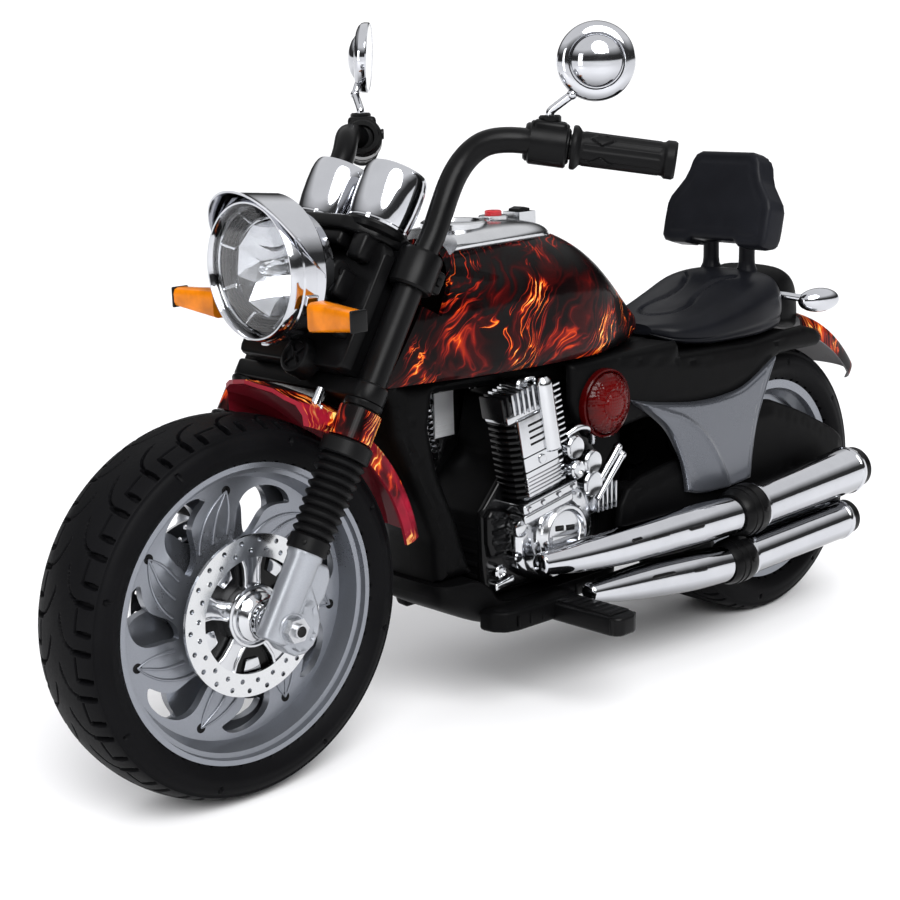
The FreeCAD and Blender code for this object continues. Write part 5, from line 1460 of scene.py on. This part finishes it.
# painted shade: black rods sunk into the pipe surface stand in for the slots and the shade inside them
slot_shade = []
for pipe, x0, x1, ang in ((UP, -424, -452, 0.30), (UP, -476, -500, 0.22), (UP, -400, -414, 0.46), (LP, -430, -462, 0.42), (LP, -484, -506, 0.30)):
    k = 9
    pts = [on_pipe(pipe, x0 + (x1 - x0) * i / (k - 1), math.asin(min(1, ang)) if ang > 1 else ang) for i in range(k)]
    slot_shade.append(tube(pts, [1.0] + [2.1] * (k - 2) + [1.0], 12))
piece("header_slot_shade", both(slot_shade), M_GLOSS, "chassis", 40)
pipes = []
for pipe in (UP, LP):
    sm = curve([tuple(p) for p in pipe], 10)
    head = [(pipe[0][0] + 2.2, pipe[0][1], pipe[0][2], pipe[0][3] * 0.72), (pipe[0][0] + 1.2, pipe[0][1], pipe[0][2], pipe[0][3] * 0.9)]
    sm = head + [tuple(p) for p in sm]
    pipes.append(tube([P(p[0], p[1], p[2]) for p in sm], [float(p[3]) for p in sm], 56))
piece("header_pipes", both(pipes), M_CHROME_SHADED, "chassis", 40, ("exhaust_headers",))

DU, DL = Vector((-1, 0, 0.045)).normalized(), Vector((-1, 0, 0.025)).normalized()
CU0, CL0 = P(-568, 100, 145), P(-552, 100, 95.5)
bands = [lathe([(33.4, 22.2), (33.4, 24.0), (35, 24.6), (37.5, 24.6), (38.5, 23.4)], CU0, DU, ZX, 64), lathe([(33.4, 20.2), (33.4, 21.8), (35, 22.3), (37.5, 22.3), (38.5, 21.2)], CL0, DL, ZX, 64)]
bands.append(lathe([(199, 25.3), (200, 26.2), (203, 26.3), (205, 25.8), (207, 24.3)], CU0, DU, ZX, 64))
bands.append(lathe([(201, 21.4), (202, 22.2), (205, 22.3), (207.5, 21.6), (209.5, 20.4)], CL0, DL, ZX, 64))
piece("muffler_bands", both(bands), M_CHROME, "chassis", 40)
col = [lathe([(-1, 19.4), (-1, 21.4), (1, 22.4), (5, 24.8), (9, 25.2), (9.6, 26.2), (13, 26.6), (13.6, 25.6), (18, 25.8), (18.6, 27.0), (26, 27.2), (31, 26.6), (33, 25.2), (33.2, 22)], CU0, DU, ZX, 64),
       lathe([(-1, 19.2), (-1, 20.2), (1, 21.0), (5, 22.6), (9, 22.8), (9.6, 23.8), (13, 24.0), (13.6, 23.0), (18, 23.1), (18.6, 24.2), (26, 24.4), (31, 23.8), (33, 22.6), (33.2, 20)], CL0, DL, ZX, 64)]
col.append(block(P(-577, 100, 118.2), XX, YX, ZX, 12, 16, 16, 3.0))
col.append(block(P(-584, 74.5, 139), XX, YX, ZX, 16, 16, 22, 3.0))
for c0, d0, rr in ((CU0, DU, 27.0), (CL0, DL, 24.2)):
    for a in (0.2, 2.6):
        col.append(disc(c0 + d0 * 0.0225 + (YX * math.cos(a) + ZX * math.sin(a)) * ((rr - 0.6) * MM), YX * math.cos(a) + ZX * math.sin(a), 3.0, 1.8, 6))
piece("pipe_collars", both(col), M_SATIN, "chassis", 34, ("exhaust_collars",))

# ------------------------------------------------------------------ rear mudguard and tail lamp
RWC = (-706.0, 148.0)
RG_OUT = [(-57.0, 163), (-55.4, 172), (-53.0, 179.0), (-49, 182.6), (-36, 185.6), (-18, 187.2), (0, 187.7)]
RG_IN = [(-54.6, 163), (-53.0, 171.6), (-50.6, 177.4), (-47, 180.2), (-35, 183), (-18, 184.6), (0, 185)]


def tail_guard():
    o = [tuple(p) for p in curve(RG_OUT, 5)]
    i_ = [tuple(p) for p in curve(RG_IN, 5)]
    ring = o + [(-y, r) for y, r in reversed(o[:-1])] + [(-y, r) for y, r in i_[:-1]] + [i_[-1]] + [p for p in reversed(i_[:-1])]
    n, m = len(ring), 56
    vs, fs = [], []
    for k in range(m + 1):
        u = k / m
        a = math.radians(104.0 + 41.5 * u)
        e = max(0.0, (u - 0.93) / 0.07)
        nar = math.sqrt(max(0.0, 1 - (0.50 * e) ** 2))
        lift = smooth01(u, 0.35, 1.0) * 2.0
        for y, r in ring:
            rr = r + (lift if r < 178 else 0.0) * (1 - min(1.0, max(0.0, (r - 163) / 15.0)))
            vs.append(P(RWC[0] + rr * math.cos(a), y * nar, RWC[1] + rr * math.sin(a)))
    for k in range(m):
        for j in range(n):
            q = (j + 1) % n
            fs.append((k * n + j, k * n + q, (k + 1) * n + q, (k + 1) * n + j))
    fs.append(tuple(range(n))[::-1])
    fs.append(tuple(m * n + j for j in range(n)))
    return vs, fs


piece("tail_guard", [tail_guard()], M_RFEN, "chassis", 40, ("rear_fender",))
# rounded tail hump under the backrest
HUMP = [(0, 0), (0.6, 0.0), (0.92, 0.05), (1.0, 0.22), (0.985, 0.55), (0.90, 0.82), (0.68, 0.955), (0.35, 0.995), (0, 1.0)]
hump = loft([(-702, 51, 317, 377), (-716, 52, 316, 380), (-730, 51, 314, 380), (-746, 47, 311, 374), (-758, 40, 308, 364), (-766, 31, 306, 352), (-771, 18, 306, 338)], HUMP)
piece("tail_hump", [hump], M_FRAME, "chassis", 34, ("tail_cowl",))
tl = [lathe([(752, 0), (752, 17), (760, 20.0), (767, 22.6), (772, 24.2), (776.5, 24.0), (777.6, 22.8), (776, 21.6), (773, 21.0)], P(0, 0, 345), XX * -1, ZX, 64)]
piece("tail_lamp_ring", tl, M_CHROME, "chassis", 34)
rl = [lathe([(771, 0), (771, 21.2), (774, 21.0), (777.5, 19.0), (778.6, 18.0), (778.2, 17.0), (780.6, 11.0), (781.6, 4.6), (781.8, 0)], P(0, 0, 345), XX * -1, ZX, 56)]
piece("tail_lamp_lens", rl, M_REDL, "chassis", 24)

# ------------------------------------------------------------------ stage, light, camera
def floor():
    bm = bmesh.new()
    bmesh.ops.create_circle(bm, cap_ends=True, segments=96, radius=160.0)
    me = bpy.data.meshes.new("floor")
    bm.to_mesh(me)
    bm.free()
    o = bpy.data.objects.new("floor", me)
    bpy.context.scene.collection.objects.link(o)
    m = Mat("floor_white")
    n = m.noise(0.8, 3.0)
    m.set(Base_Color=m.mix(n, (0.86, 0.86, 0.87), (0.89, 0.89, 0.90)), Roughness=m.span(n, 0.3, 0.7, 0.55, 0.65), Specular_IOR_Level=0.2)
    me.materials.append(m.m)


floor()
sc = bpy.context.scene
w = bpy.data.worlds.new("studio")
sc.world = w
w.use_nodes = True
nt = w.node_tree
nt.nodes.clear()
wo = nt.nodes.new("ShaderNodeOutputWorld")
bg = nt.nodes.new("ShaderNodeBackground")
tc = nt.nodes.new("ShaderNodeTexCoord")
sp = nt.nodes.new("ShaderNodeSeparateXYZ")
rp = nt.nodes.new("ShaderNodeValToRGB")
nt.links.new(tc.outputs["Generated"], sp.inputs[0])
nt.links.new(sp.outputs[2], rp.inputs[0])
nt.links.new(rp.outputs[0], bg.inputs[0])
nt.links.new(bg.outputs[0], wo.inputs[0])
e = rp.color_ramp.elements
stops = [(0.0, 1.18), (0.048, 1.18), (0.080, 0.04), (0.27, 0.05), (0.40, 0.40), (0.56, 1.02), (1.0, 1.02)]
while len(e) < len(stops):
    e.new(0.5)
for el, (p_, v_) in zip(e, stops):
    el.position = p_
    el.color = (v_, v_, v_ * 1.01, 1)
bg.inputs[1].default_value = 0.95


def sun(name, az, el, power, ang):
    d = bpy.data.lights.new(name, "SUN")
    d.energy, d.angle = power, math.radians(ang)
    o = bpy.data.objects.new(name, d)
    v = Vector((math.cos(math.radians(el)) * math.cos(math.radians(az)), math.cos(math.radians(el)) * math.sin(math.radians(az)), math.sin(math.radians(el))))
    o.rotation_euler = v.to_track_quat("Z", "Y").to_euler()
    sc.collection.objects.link(o)


def panel(name, loc, to, size, power):
    d = bpy.data.lights.new(name, "AREA")
    d.shape, d.size, d.size_y, d.energy = "RECTANGLE", size[0], size[1], power
    o = bpy.data.objects.new(name, d)
    o.location = loc
    o.rotation_euler = (Vector(loc) - Vector(to)).to_track_quat("Z", "Y").to_euler()
    sc.collection.objects.link(o)


sun("soft_top", 62.0, 42.0, 2.9, 42.0)
panel("key", (1.2, 2.6, 2.4), (0, 0, 0.3), (2.2, 1.2), 34.0)
panel("side", (3.0, 0.2, 1.0), (0, 0, 0.3), (0.7, 1.6), 16.0)

cam = bpy.data.cameras.new("camera")
co_ = bpy.data.objects.new("camera", cam)
sc.collection.objects.link(co_)
yaw, pitch, roll = -2.3243, 0.2272, -0.0287
fwd = Vector((math.cos(yaw) * math.cos(pitch), math.sin(yaw) * math.cos(pitch), -math.sin(pitch)))
r_ = fwd.cross(ZX).normalized()
u_ = r_.cross(fwd)
c_, s_ = math.cos(roll), math.sin(roll)
r2, u2 = r_ * c_ + u_ * s_, u_ * c_ - r_ * s_
mw = Matrix.Identity(4)
for i in range(3):
    mw[i][0], mw[i][1], mw[i][2] = r2[i], u2[i], -fwd[i]
mw.translation = P(829.2207, 1168.5565, 622.9337)
co_.matrix_world = mw
cam.sensor_width, cam.lens = 36.0, 70.0
cam.clip_end = 400.0
sc.camera = co_
sc.view_settings.view_transform = "Standard"
sc.view_settings.look = "None"

bpy.context.view_layer.update()
